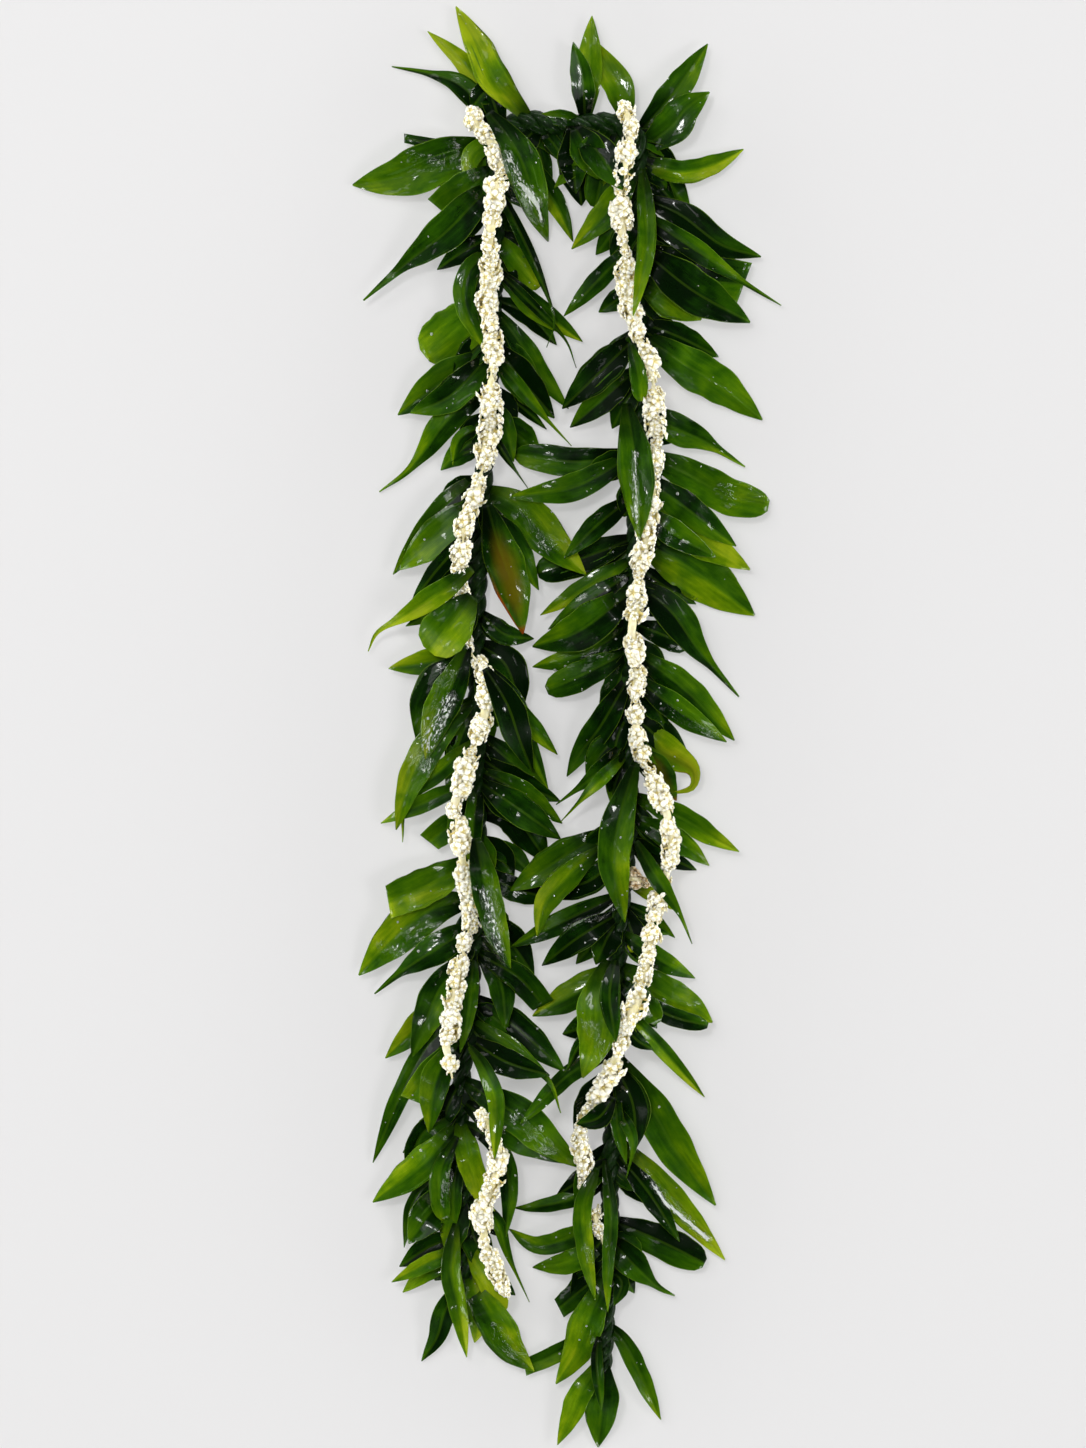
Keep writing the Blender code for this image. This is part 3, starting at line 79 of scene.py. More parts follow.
# Each leaf: its midrib from the rope to the tip, greatest width, outline, and tone.
# Tone 0 is dark green and 1 yellow green.
ropeLeaves = [
    ([(-36, 392), (-45, 412), (-57, 436), (-71, 461)], 20, "point", 0.65),
    ([(-40, 396), (-63, 421), (-89, 445)], 13, "point", 0.7),
    ([(-44, 396), (-66, 409), (-88, 418), (-112, 423)], 15, "tail", 0.25),
    ([(-38, 392), (-50, 405), (-60, 397)], 16, "blunt", 0.1),
    ([(-50, 376), (-80, 373), (-104, 377)], 7, "cut", 0.1),
    ([(-46, 374), (-78, 363), (-106, 352), (-137, 347)], 30, "point", 0.4),
    ([(-47, 380), (-60, 366), (-64, 347)], 13, "point", 0.5),
    ([(-46, 358), (-62, 344), (-80, 330)], 26, "cut", 0.4),
    ([(-46, 338), (-75, 318), (-102, 297), (-130, 273)], 24, "tail", 0.3),
    ([(-46, 314), (-68, 303), (-83, 293)], 14, "point", 0.15),
    ([(-46, 305), (-62, 292), (-65, 270), (-52, 241)], 14, "long", 0.4),
    ([(-47, 272), (-68, 256), (-91, 238)], 33, "blunt", 0.47),
    ([(-48, 242), (-78, 222), (-108, 200)], 23, "point", 0.3),
    ([(-48, 232), (-74, 212), (-100, 201)], 21, "point", 0.3),
    ([(-50, 215), (-74, 199), (-99, 167), (-120, 151)], 18, "tail", 0.4),
    ([(-51, 195), (-68, 185), (-73, 168)], 9, "point", 0.3),
    ([(-46, 368), (-22, 354), (-6, 333), (4, 311)], 15, "point", 0.4),
    ([(-46, 338), (-26, 308), (-12, 275), (-8, 258), (-13, 243)], 8, "tail", 0.2),
    ([(-46, 314), (-32, 298), (-18, 281)], 16, "blunt", 0.5),
    ([(-46, 294), (-22, 270), (-6, 259), (10, 247)], 15, "point", 0.35),
    ([(-47, 288), (-18, 266), (-1, 248), (6, 230)], 7, "tail", 0.2),
    ([(-47, 268), (-30, 246), (-17, 226), (1, 204)], 15, "point", 0.35),
    ([(-48, 248), (-32, 226), (-8, 198)], 22, "point", 0.15),
    ([(-49, 222), (-30, 206), (-13, 191)], 8, "point", 0.1),
    ([(-49, 230), (-20, 205), (3, 180)], 9, "tail", 0.4),
    ([(-50, 212), (-40, 195), (-34, 170)], 12, "point", 0.3),
    ([(-51, 195), (-40, 175), (-25, 153)], 6, "tail", 0.1),
    ([(-54, 163), (-77, 142), (-95, 119), (-111, 98)], 16, "long", 0.3),
    ([(-55, 146), (-78, 126), (-107, 101)], 24, "point", 0.4),
    ([(-57, 122), (-80, 104), (-93, 88), (-100, 78)], 12, "point", 0.1),
    ([(-57, 93), (-80, 77), (-103, 65)], 12, "point", 0.3),
    ([(-58, 50), (-84, 43), (-114, 38)], 17, "point", 0.5),
    ([(-58, 46), (-83, 25), (-96, -8)], 28, "point", 0.3),
    ([(-57, 10), (-85, -8), (-100, -35), (-109, -65)], 20, "point", 0.5),
    ([(-57, -8), (-78, -25), (-102, -47), (-105, -73)], 12, "tail", 0.5),
    ([(-57, -32), (-85, -45), (-119, -61)], 12, "point", 0.4),
    ([(-57, -52), (-75, -63), (-88, -73)], 17, "cut", 0.3),
    ([(-57, -82), (-86, -99), (-114, -111)], 24, "cut", 0.45),
    ([(-58, -100), (-87, -116), (-110, -134), (-133, -158)], 27, "point", 0.44),
    ([(-59, -125), (-82, -140), (-105, -155), (-123, -170)], 20, "tail", 0.3),
    ([(-61, -143), (-80, -165), (-90, -187), (-99, -210)], 21, "point", 0.35),
    ([(-62, -162), (-86, -183), (-116, -211)], 19, "point", 0.45),
    ([(-64, -180), (-88, -202), (-107, -236), (-124, -278)], 13, "long", 0.3),
    ([(-65, -200), (-85, -216), (-100, -237)], 15, "cut", 0.4),
    ([(-66, -207), (-83, -222), (-88, -258)], 19, "point", 0.4),
    ([(-68, -245), (-88, -255), (-97, -268), (-101, -290)], 14, "long", 0.3),
    ([(-68, -262), (-92, -278), (-124, -303)], 21, "point", 0.45),
    ([(-67, -281), (-86, -289), (-99, -305), (-104, -332)], 9, "long", 0.2),
    ([(-66, -296), (-86, -308), (-101, -329)], 24, "point", 0.3),
    ([(-65, -318), (-85, -330), (-107, -344)], 16, "point", 0.15),
    ([(-65, -335), (-88, -346), (-105, -361)], 13, "point", 0.5),
    ([(-65, -330), (-90, -342), (-112, -354)], 11, "point", 0.5),
    ([(-62, -348), (-77, -370), (-83, -389), (-93, -405)], 14, "point", 0.2),
    ([(-65, -345), (-58, -362), (-56, -378), (-59, -393)], 18, "point", 0.6),
    ([(-68, -266), (-72, -290), (-72, -320)], 11, "long", 0.3),
    ([(-68, -248), (-62, -275), (-54, -298), (-46, -308)], 16, "long", 0.6),
    ([(-65, -328), (-55, -345), (-46, -360), (-42, -374)], 15, "blunt", 0.7),
    ([(-68, -255), (-46, -264), (-37, -290), (-39, -325)], 13, "long", 0.3),
    ([(-66, -300), (-46, -312), (-37, -338), (-24, -367)], 8, "tail", 0.4),
    ([(-62, -352), (-46, -379), (-36, -396), (-21, -411)], 23, "point", 0.45),
    ([(-60, -150), (-62, -175), (-68, -207)], 10, "long", 0.4),
    ([(-54, 152), (-30, 140), (-10, 119), (12, 98)], 26, "point", 0.5),
    ([(-56, 142), (-36, 122), (-18, 88)], 16, "point", 0.3),
    ([(-58, 75), (-40, 60), (-21, 57)], 14, "point", 0.2),
    ([(-58, 64), (-39, 40), (-29, 10)], 24, "point", 0.15),
    ([(-58, 45), (-35, 20), (-26, -5), (-12, -39)], 12, "long", 0.4),
    ([(-57, 30), (-30, 8), (-6, -17)], 14, "point", 0.4),
    ([(-57, -5), (-35, -22), (-12, -39)], 18, "point", 0.2),
    ([(-57, -18), (-30, -35), (-4, -47)], 16, "point", 0.15),
    ([(-57, -28), (-28, -42), (-3, -61)], 16, "point", 0.25),
    ([(-57, -36), (-30, -52), (-4, -71)], 20, "point", 0.25),
    ([(-57, -42), (-60, -65), (-61, -92)], 12, "long", 0.3),
    ([(-57, -45), (-34, -57), (-12, -86)], 24, "point", 0.15),
    ([(-57, -92), (-38, -101), (-15, -108)], 16, "blunt", 0.05),
    ([(-58, -120), (-38, -135), (-21, -158)], 22, "point", 0.2),
    ([(-60, -138), (-43, -160), (-39, -192)], 17, "point", 0.25),
    ([(-60, -148), (-32, -158), (-15, -177)], 17, "cut", 0.2),
    ([(-62, -172), (-34, -190), (-1, -219)], 20, "point", 0.15),
    ([(-63, -185), (-35, -205), (-12, -224), (-4, -245)], 13, "tail", 0.4),
    ([(-64, -198), (-40, -212), (-11, -221)], 18, "point", 0.1),
    ([(-67, -238), (-35, -258), (-2, -278)], 20, "point", 0.2),
    ([(-66, -225), (-32, -246), (-9, -266), (9, -281)], 24, "point", 0.4),
    ([(-20, 386), (-8, 372), (0, 358)], 10, "point", 0.2),
    ([(20, 386), (2, 388), (-18, 391)], 11, "point", 0.35),
    ([(17, 386), (14, 420), (16, 455)], 17, "point", 0.55),
    ([(14, 386), (10, 412), (4, 438)], 15, "point", 0.25),
    ([(41, 384), (34, 407), (23, 427), (17, 440)], 19, "point", 0.55),
    ([(22, 385), (24, 360), (18, 333)], 20, "blunt", 0.3),
    ([(28, 385), (12, 366), (-8, 345)], 14, "point", 0.4),
    ([(46, 352), (26, 330), (3, 306)], 18, "point", 0.45),
    ([(44, 378), (68, 405), (90, 437)], 18, "point", 0.35),
    ([(46, 368), (66, 383), (76, 395), (91, 406)], 23, "point", 0.35),
    ([(46, 362), (72, 355), (93, 360), (113, 370)], 15, "long", 0.5),
    ([(46, 345), (72, 328), (98, 309), (124, 301)], 20, "point", 0.12),
    ([(46, 306), (80, 288), (113, 283)], 34, "cut", 0.25),
    ([(46, 296), (80, 279), (117, 259)], 28, "point", 0.2),
    ([(46, 330), (80, 306), (112, 285), (137, 270)], 14, "tail", 0.35),
    ([(46, 286), (66, 275), (86, 261)], 27, "point", 0.5),
    ([(46, 258), (73, 249), (97, 237)], 17, "point", 0.2),
    ([(46, 246), (75, 232), (99, 218), (125, 197)], 26, "point", 0.4),
    ([(46, 203), (70, 191), (90, 182), (114, 167)], 20, "tail", 0.4),
    ([(46, 180), (75, 163), (103, 148), (129, 142)], 24, "blunt", 0.42),
    ([(45, 152), (80, 124), (117, 101)], 24, "point", 0.55),
    ([(45, 164), (72, 143), (108, 116)], 20, "point", 0.3),
    ([(44, 140), (68, 124), (95, 109)], 17, "point", 0.3),
    ([(44, 122), (80, 101), (120, 72)], 32, "point", 0.45),
    ([(43, 95), (66, 75), (84, 50), (110, 20)], 22, "tail", 0.25),
    ([(42, 75), (60, 60), (78, 52)], 16, "blunt", 0.2),
    ([(46, 312), (22, 288), (-2, 263)], 13, "point", 0.3),
    ([(46, 250), (20, 226), (-3, 204)], 22, "point", 0.1),
    ([(46, 236), (24, 211), (2, 192)], 18, "point", 0.25),
    ([(46, 184), (8, 170), (-33, 175)], 19, "blunt", 0.25),
    ([(45, 178), (5, 154), (-37, 147)], 18, "point", 0.35),
    ([(45, 150), (20, 130), (-2, 108)], 15, "point", 0.2),
    ([(44, 128), (14, 110), (-19, 99)], 22, "blunt", 0.12),
    ([(44, 108), (12, 90), (-17, 72)], 13, "point", 0.5),
    ([(43, 100), (15, 82), (-12, 63)], 14, "point", 0.2),
    ([(42, 84), (8, 62), (-22, 52)], 26, "point", 0.3),
    ([(41, 66), (10, 47), (-22, 39)], 17, "point", 0.45),
    ([(41, 50), (10, 34), (-13, 24)], 19, "blunt", 0.3),
    ([(39, 26), (22, 2), (10, -14), (0, -31)], 18, "point", 0.2),
    ([(39, 8), (33, -4), (30, -16)], 13, "blunt", 0.1),
    ([(39, -8), (22, -27), (-7, -49)], 13, "tail", 0.3),
    ([(39, -15), (20, -34), (-4, -60)], 9, "tail", 0.5),
    ([(41, 50), (70, 29), (90, 10), (107, -8)], 20, "point", 0.4),
    ([(40, 34), (70, 12), (102, -9)], 17, "point", 0.3),
    ([(39, 18), (60, 0), (76, -13)], 14, "point", 0.1),
    ([(39, 2), (62, -14), (80, -26), (80, -38), (66, -42)], 21, "tail", 0.6),
    ([(40, -45), (50, -62), (62, -78)], 13, "point", 0.1),
    ([(40, -38), (74, -58), (92, -69), (110, -79)], 16, "point", 0.5),
    ([(40, -55), (72, -73), (91, -88)], 16, "point", 0.4),
    ([(36, -98), (55, -107), (68, -116)], 9, "point", 0.6),
    ([(35, -110), (55, -122), (69, -134)], 9, "point", 0.3),
    ([(34, -118), (50, -127), (66, -132)], 8, "point", 0.2),
    ([(34, -128), (42, -136), (47, -146)], 10, "blunt", 0.8),
    ([(34, -134), (60, -148), (82, -160)], 14, "point", 0.4),
    ([(33, -152), (62, -171), (78, -178), (93, -188)], 26, "point", 0.5),
    ([(33, -165), (65, -183), (90, -190)], 12, "blunt", 0.1),
    ([(33, -160), (50, -176), (58, -188)], 15, "blunt", 0.3),
    ([(32, -175), (60, -204), (88, -236)], 10, "long", 0.5),
    ([(32, -190), (44, -198), (55, -205)], 10, "point", 0.1),
    ([(31, -210), (52, -240), (70, -270), (95, -305)], 25, "point", 0.4),
    ([(31, -215), (42, -240), (44, -268)], 22, "point", 0.1),
    ([(30, -228), (32, -252), (38, -278)], 9, "long", 0.3),
    ([(30, -240), (42, -262), (38, -287)], 8, "tail", 0.35),
    ([(29, -256), (55, -287), (78, -313), (101, -340)], 18, "point", 0.62),
    ([(28, -268), (52, -296), (72, -328)], 14, "point", 0.15),
    ([(27, -312), (60, -328), (88, -342)], 22, "blunt", 0.15),
    ([(26, -325), (45, -345), (58, -357), (69, -363)], 19, "tail", 0.3),
    ([(26, -345), (35, -354), (30, -369)], 10, "point", 0.2),
    ([(38, -85), (15, -97), (-12, -104)], 18, "blunt", 0.1),
    ([(35, -105), (5, -120), (-36, -140)], 15, "point", 0.25),
    ([(34, -118), (8, -133), (-16, -152)], 18, "point", 0.1),
    ([(33, -148), (6, -169), (-22, -184)], 20, "point", 0.4),
    ([(32, -185), (10, -200), (0, -218)], 9, "point", 0.1),
    ([(32, -200), (0, -222), (-30, -252)], 12, "long", 0.3),
    ([(28, -288), (5, -300), (-20, -306), (-34, -307)], 11, "long", 0.3),
    ([(27, -308), (0, -326), (-20, -330), (-37, -320)], 14, "long", 0.4),
    ([(26, -330), (0, -341), (-22, -345)], 15, "point", 0.4),
    ([(25, -345), (8, -360), (-5, -371)], 15, "cut", 0.15),
    ([(25, -356), (13, -378), (6, -399), (-7, -419)], 22, "point", 0.45),
    ([(24, -375), (0, -396), (-27, -409)], 12, "cut", 0.35),
    ([(24, -380), (37, -393), (48, -415), (60, -442)], 12, "long", 0.4),
    ([(22, -405), (22, -430), (20, -460)], 22, "point", 0.35),
    ([(22, -402), (8, -425), (2, -440), (-6, -458)], 15, "point", 0.55),
]
frontLeaves = {
    "front_leaf_left_tail": ([(-71, -316), (-74, -345), (-69, -372), (-64, -402)], 13, "long", 0.5),
    "front_leaf_left_strap": ([(-70, -260), (-80, -280), (-81, -300), (-78, -314)], 13, "blunt", 0.3),
    "front_leaf_right_strap": ([(24, -276), (28, -310), (26, -345), (26, -372)], 9, "long", 0.4),
    "front_leaf_right_tail": ([(19, -280), (10, -305), (12, -335), (18, -364)], 12, "long", 0.5),
    "front_leaf_right_end": ([(20, -388), (19, -405), (22, -435)], 8, "long", 0.3),
    "front_leaf_right_dark": ([(30, -235), (20, -248), (6, -252)], 14, "point", 0.1),
    "front_leaf_left_curved": ([(-62, -203), (-52, -218), (-45, -238), (-46, -274)], 11, "long", 0.5),
    "front_leaf_right_broad": ([(26, -148), (19, -172), (18, -198), (10, -223)], 25, "point", 0.5),
    "front_leaf_right_satin": ([(31, -148), (27, -170), (31, -199)], 13, "long", 0.25),
    "front_leaf_left_long": ([(-58, -70), (-52, -100), (-45, -128), (-36, -153)], 18, "long", 0.35),
    "front_leaf_inner_wide": ([(24, -66), (-5, -84), (-36, -104)], 22, "point", 0.4),
    "front_leaf_inner_folded": ([(22, -76), (0, -95), (-14, -112), (-19, -133)], 17, "point", 0.5),
    "front_leaf_right_hanging": ([(44, -22), (34, -55), (30, -85), (37, -124)], 22, "point", 0.4),
    "front_leaf_right_twisted": ([(44, -72), (55, -92), (71, -117), (80, -138)], 11, "tail", 0.4),
    "front_leaf_left_wet": ([(-63, 52), (-72, 30), (-83, 6), (-90, -20)], 22, "point", 0.4),
    "front_leaf_left_dark": ([(-52, 38), (-38, 15), (-30, -8), (-22, -28)], 20, "point", 0.1),
    "front_leaf_left_round": ([(-60, 84), (-74, 66), (-88, 49)], 31, "blunt", 0.5),
    "front_leaf_left_pale": ([(-60, 101), (-84, 84), (-106, 70), (-121, 61), (-127, 49)], 15, "tail", 0.6),
    "front_leaf_brown_edge": ([(-51, 143), (-43, 115), (-34, 88), (-28, 60)], 25, "point", 0.33),
    "front_leaf_right_white_streak": ([(38, 207), (42, 180), (45, 150), (46, 120)], 23, "point", 0.4),
    "front_leaf_right_short": ([(40, 245), (45, 226), (47, 208)], 11, "blunt", 0.4),
    "front_leaf_right_upper": ([(48, 357), (51, 315), (47, 285), (42, 262)], 12, "long", 0.5),
    "front_leaf_left_upper": (
        [(-50, 392), (-36, 374), (-27, 356), (-20, 332), (-12, 311)], 23, "point", 0.35,
    ),
}
blossomStrings = {
    "blossoms_left": [
        (-60, 394, 8), (-60, 388, 13), (-57, 382, 14), (-51, 377, 14), (-46, 370, 14), (-43, 360, 13),
        (-41, 353, 9), (-43, 350, 5), (-45, 346, 12), (-46, 339, 14), (-46, 332, 12), (-47, 328, 5),
        (-48, 323, 13), (-49, 314, 14), (-49, 306, 12), (-48, 303, 5), (-49, 298, 13), (-49, 287, 15),
        (-50, 277, 14), (-51, 268, 14), (-49, 261, 13), (-49, 256, 11), (-48, 253, 5), (-47, 248, 13),
        (-47, 238, 14), (-47, 230, 12), (-48, 226, 5), (-48, 221, 12), (-49, 212, 14), (-48, 202, 14),
        (-48, 194, 14), (-50, 187, 14), (-52, 177, 14), (-52, 168, 10), (-54, 164, 5), (-56, 159, 13),
        (-57, 151, 13), (-60, 144, 12), (-62, 137, 7), (-64, 132, 13), (-66, 125, 13), (-66, 119, 5),
        (-67, 114, 13), (-68, 106, 13), (-69, 99, 11), (-67, 91, 8), (-66, 84, 11), (-66, 76, 8),
        (-65, 68, 5), (-65, 60, 8), (-64, 52, 7), (-60, 46, 5), (-55, 40, 10), (-52, 31, 14),
        (-51, 23, 14), (-51, 14, 13), (-53, 7, 14), (-56, -1, 15), (-57, -6, 11), (-58, -11, 5),
        (-61, -17, 9), (-64, -23, 14), (-65, -31, 14), (-67, -38, 13), (-71, -46, 14), (-72, -52, 12),
        (-71, -57, 5), (-69, -63, 12), (-68, -72, 13), (-67, -80, 12), (-66, -90, 11), (-65, -99, 10),
        (-63, -108, 11), (-62, -117, 11), (-61, -126, 10), (-63, -130, 5), (-66, -136, 13),
        (-66, -145, 6), (-69, -151, 13), (-70, -161, 13), (-72, -170, 10), (-73, -177, 13),
        (-74, -186, 13), (-75, -195, 11), (-77, -203, 13), (-75, -211, 11), (-74, -218, 7),
        (-73, -223, 4),
    ],
    "blossoms_left_tail": [
        (-56, -244, 6), (-51, -250, 12), (-47, -258, 12), (-44, -268, 13), (-44, -279, 13),
        (-48, -290, 13), (-50, -300, 9), (-55, -308, 13), (-53, -317, 11), (-53, -324, 13),
        (-51, -333, 11), (-47, -342, 12), (-43, -352, 10), (-40, -358, 8), (-37, -364, 4),
    ],
    "blossoms_right": [
        (36, 398, 7), (38, 391, 13), (41, 382, 12), (40, 373, 13), (37, 365, 14), (36, 357, 14),
        (34, 349, 13), (35, 343, 9), (35, 340, 5), (34, 334, 12), (35, 325, 14), (35, 315, 13),
        (37, 306, 10), (38, 301, 5), (37, 294, 13), (37, 283, 14), (39, 273, 14), (42, 264, 14),
        (45, 252, 11), (48, 246, 5), (50, 240, 13), (53, 232, 14), (54, 224, 12), (55, 219, 6),
        (56, 212, 13), (55, 205, 14), (56, 197, 13), (57, 189, 11), (57, 183, 6), (56, 176, 11),
        (55, 164, 12), (55, 150, 11), (52, 136, 12), (51, 126, 12), (50, 116, 13), (47, 108, 13),
        (46, 101, 12), (46, 95, 5), (45, 87, 12), (45, 79, 13), (42, 69, 13), (41, 61, 12), (43, 54, 11),
        (44, 46, 10), (43, 39, 5), (45, 34, 11), (44, 27, 13), (44, 19, 11), (44, 15, 5), (44, 9, 12),
        (44, 2, 12), (44, -5, 12), (47, -13, 14), (48, -19, 9), (51, -24, 5), (55, -31, 9), (58, -39, 14),
        (61, -47, 14), (64, -56, 12), (65, -64, 11), (66, -72, 12), (66, -80, 9), (64, -89, 12),
        (63, -98, 9), (60, -103, 6), (58, -109, 12), (56, -118, 12), (54, -125, 5), (54, -131, 13),
        (52, -140, 9), (50, -150, 14), (48, -159, 11), (46, -163, 6), (46, -170, 13), (42, -180, 16),
        (38, -188, 11), (35, -194, 6), (34, -202, 11), (31, -211, 14), (27, -222, 14), (21, -233, 14),
        (15, -243, 13), (10, -250, 8), (8, -258, 10), (8, -266, 12), (11, -277, 12), (12, -285, 11),
        (10, -292, 8), (9, -298, 4),
    ],
    "blossoms_right_tail": [
        (20, -304, 4), (18, -311, 9), (19, -318, 9), (22, -325, 7), (24, -332, 4),
    ],
    "blossoms_inner_glimpse": [
        (36, -92, 8), (42, -96, 12), (50, -99, 6),
    ],
}


# Curves and the height map that the leaves were laid with.
def smoothRoute(points, spanSteps=16):
    points = np.array(points, float)
    ends = np.vstack([2 * points[0] - points[1], points, 2 * points[-1] - points[-2]])
    out = []
    for before, start, end, after in zip(ends, ends[1:], ends[2:], ends[3:]):
        for step in range(spanSteps):
            t = step / spanSteps
            square = (2 * before - 5 * start + 4 * end - after) * t**2
            cube = (3 * start - before - 3 * end + after) * t**3
            out.append(0.5 * (2 * start + (end - before) * t + square + cube))
    return np.array(out + [points[-1]])


def lengthsAlong(route):
    steps = np.linalg.norm(np.diff(route[:, :2], axis=0), axis=1)
    return np.concatenate([[0.0], np.cumsum(steps)])


def atLengths(route, lengths):
    along = lengthsAlong(route)
    return np.stack([np.interp(lengths, along, column) for column in route.T], axis=1)


def headings(points):
    step = np.gradient(points[:, :2], axis=0)
    return step / np.linalg.norm(step, axis=1, keepdims=True)


def sideways(heading):
    return np.stack([-heading[:, 1], heading[:, 0]], axis=1)


def between(values, share):
    return values[:-1] + (values[1:] - values[:-1]) * share


def smoothThrough(x, y, at):
    # A monotone curve through the points, so that a leaf keeps the heights it was laid at.
    x, y = np.array(x, float), np.array(y, float)
    slopes = np.diff(y) / np.diff(x)
    tangents = np.concatenate([[slopes[0]], (slopes[:-1] + slopes[1:]) / 2, [slopes[-1]]])
    for index, slope in enumerate(slopes):
        if slope == 0:
            tangents[index] = tangents[index + 1] = 0
            continue
        a, b = tangents[index] / slope, tangents[index + 1] / slope
        reach = math.hypot(a, b)
        if reach > 3:
            tangents[index] = 3 / reach * a * slope
            tangents[index + 1] = 3 / reach * b * slope
    place = np.clip(np.searchsorted(x, at, side="right") - 1, 0, len(x) - 2)
    span = x[place + 1] - x[place]
    t = (at - x[place]) / span
    return ((2 * t**3 - 3 * t**2 + 1) * y[place] + (t**3 - 2 * t**2 + t) * span * tangents[place]
            + (3 * t**2 - 2 * t**3) * y[place + 1] + (t**3 - t**2) * span * tangents[place + 1])


class HeightMap:
    def __init__(self):
        size, paleMarginAndRimLight = np.array([plan["width"], plan["length"]]), plan["mapMargin"]
        self.low = -size / 2 - paleMarginAndRimLight
        self.top = np.zeros(size + 2 * paleMarginAndRimLight + 2)

    def cells(self, xy):
        index = (xy - self.low).astype(int)
        return index[:, 0], index[:, 1]

    def raiseTo(self, points):
        column, row = self.cells(points[:, :2])
        for across in (-1, 0, 1):
            for along in (-1, 0, 1):
                np.maximum.at(self.top, (column + across, row + along), points[:, 2])

    def height(self, xy):
        return self.top[self.cells(xy)]


class Rope:
    def __init__(self):
        self.route = smoothRoute(ropeRoute)
        self.along = lengthsAlong(self.route)
        self.sectionLength = self.along[-1] / plan["ropeSections"]

    def at(self, sections):
        # The place on the middle line that lies so many sections from its start.
        return atLengths(self.route, [sections * self.sectionLength])[0]

    def rootOf(self, point):
        # The section that a leaf grows from, and its root, kept clear of the section's ends.
        nearest = self.along[np.argmin(np.linalg.norm(self.route - np.array(point), axis=1))]
        section = min(int(nearest / self.sectionLength), plan["ropeSections"] - 1)
        start = section * self.sectionLength
        tailSide, neckSide = plan["rootClear"]
        if section >= plan["ropeSections"] / 2:
            tailSide, neckSide = neckSide, tailSide
        place = float(np.clip(nearest, start + tailSide, start + self.sectionLength - neckSide))
        return section, tuple(atLengths(self.route, [place])[0])

    def rings(self, section):
        start = section * self.sectionLength + plan["sectionGap"] / 2
        end = (section + 1) * self.sectionLength - plan["sectionGap"] / 2
        count = max(2, round((end - start) / plan["ropeRingStep"])) + 1
        places = np.linspace(start, end, count)
        ahead = atLengths(self.route, places + 0.5) - atLengths(self.route, places - 0.5)
        ahead /= np.linalg.norm(ahead, axis=1, keepdims=True)
        middle = self.route[np.argmin(np.abs(self.along - (start + end) / 2))]
        halfLength = self.sectionLength / 2
        isFoot = any(np.linalg.norm(middle - np.array(foot)) < halfLength for foot in plan["feet"])
        underside = 0.0 if isFoot else plan["ropeUnderside"]
        sides = plan["ropeSides"]
        rings = []
        for place, (x, y), (aheadX, aheadY) in zip(places, atLengths(self.route, places), ahead):
            radius = plan["neckRadius"] if y > plan["neckY"] else plan["ropeRadius"]
            ring = []
            for corner in range(sides):
                angle = math.radians(-90) + math.tau * (corner + 0.5) / sides
                turned = 2 * (angle - math.tau * place / plan["ropeTwist"] / 2)
                reach = radius * (1 + plan["ropeLobe"] * math.cos(turned))
                out = reach * math.cos(angle)
                isLowest = corner in (0, sides - 1)
                height = underside if isLowest else plan["ropeHeight"] + reach * math.sin(angle)
                ring.append((x - aheadY * out, y + aheadX * out, max(height, underside)))
            rings.append(ring)
        return np.array(rings)


def markRope(surface, rings):
    closed = np.concatenate([rings, rings[:, :1]], axis=1)
    marksAlong, marksAround = plan["ropeMarks"]
    for along in np.linspace(0, 1, marksAlong):
        ring = between(closed, along).swapaxes(0, 1)
        for share in np.linspace(0, 1, marksAround):
            surface.raiseTo(between(ring, share).reshape(-1, 3))


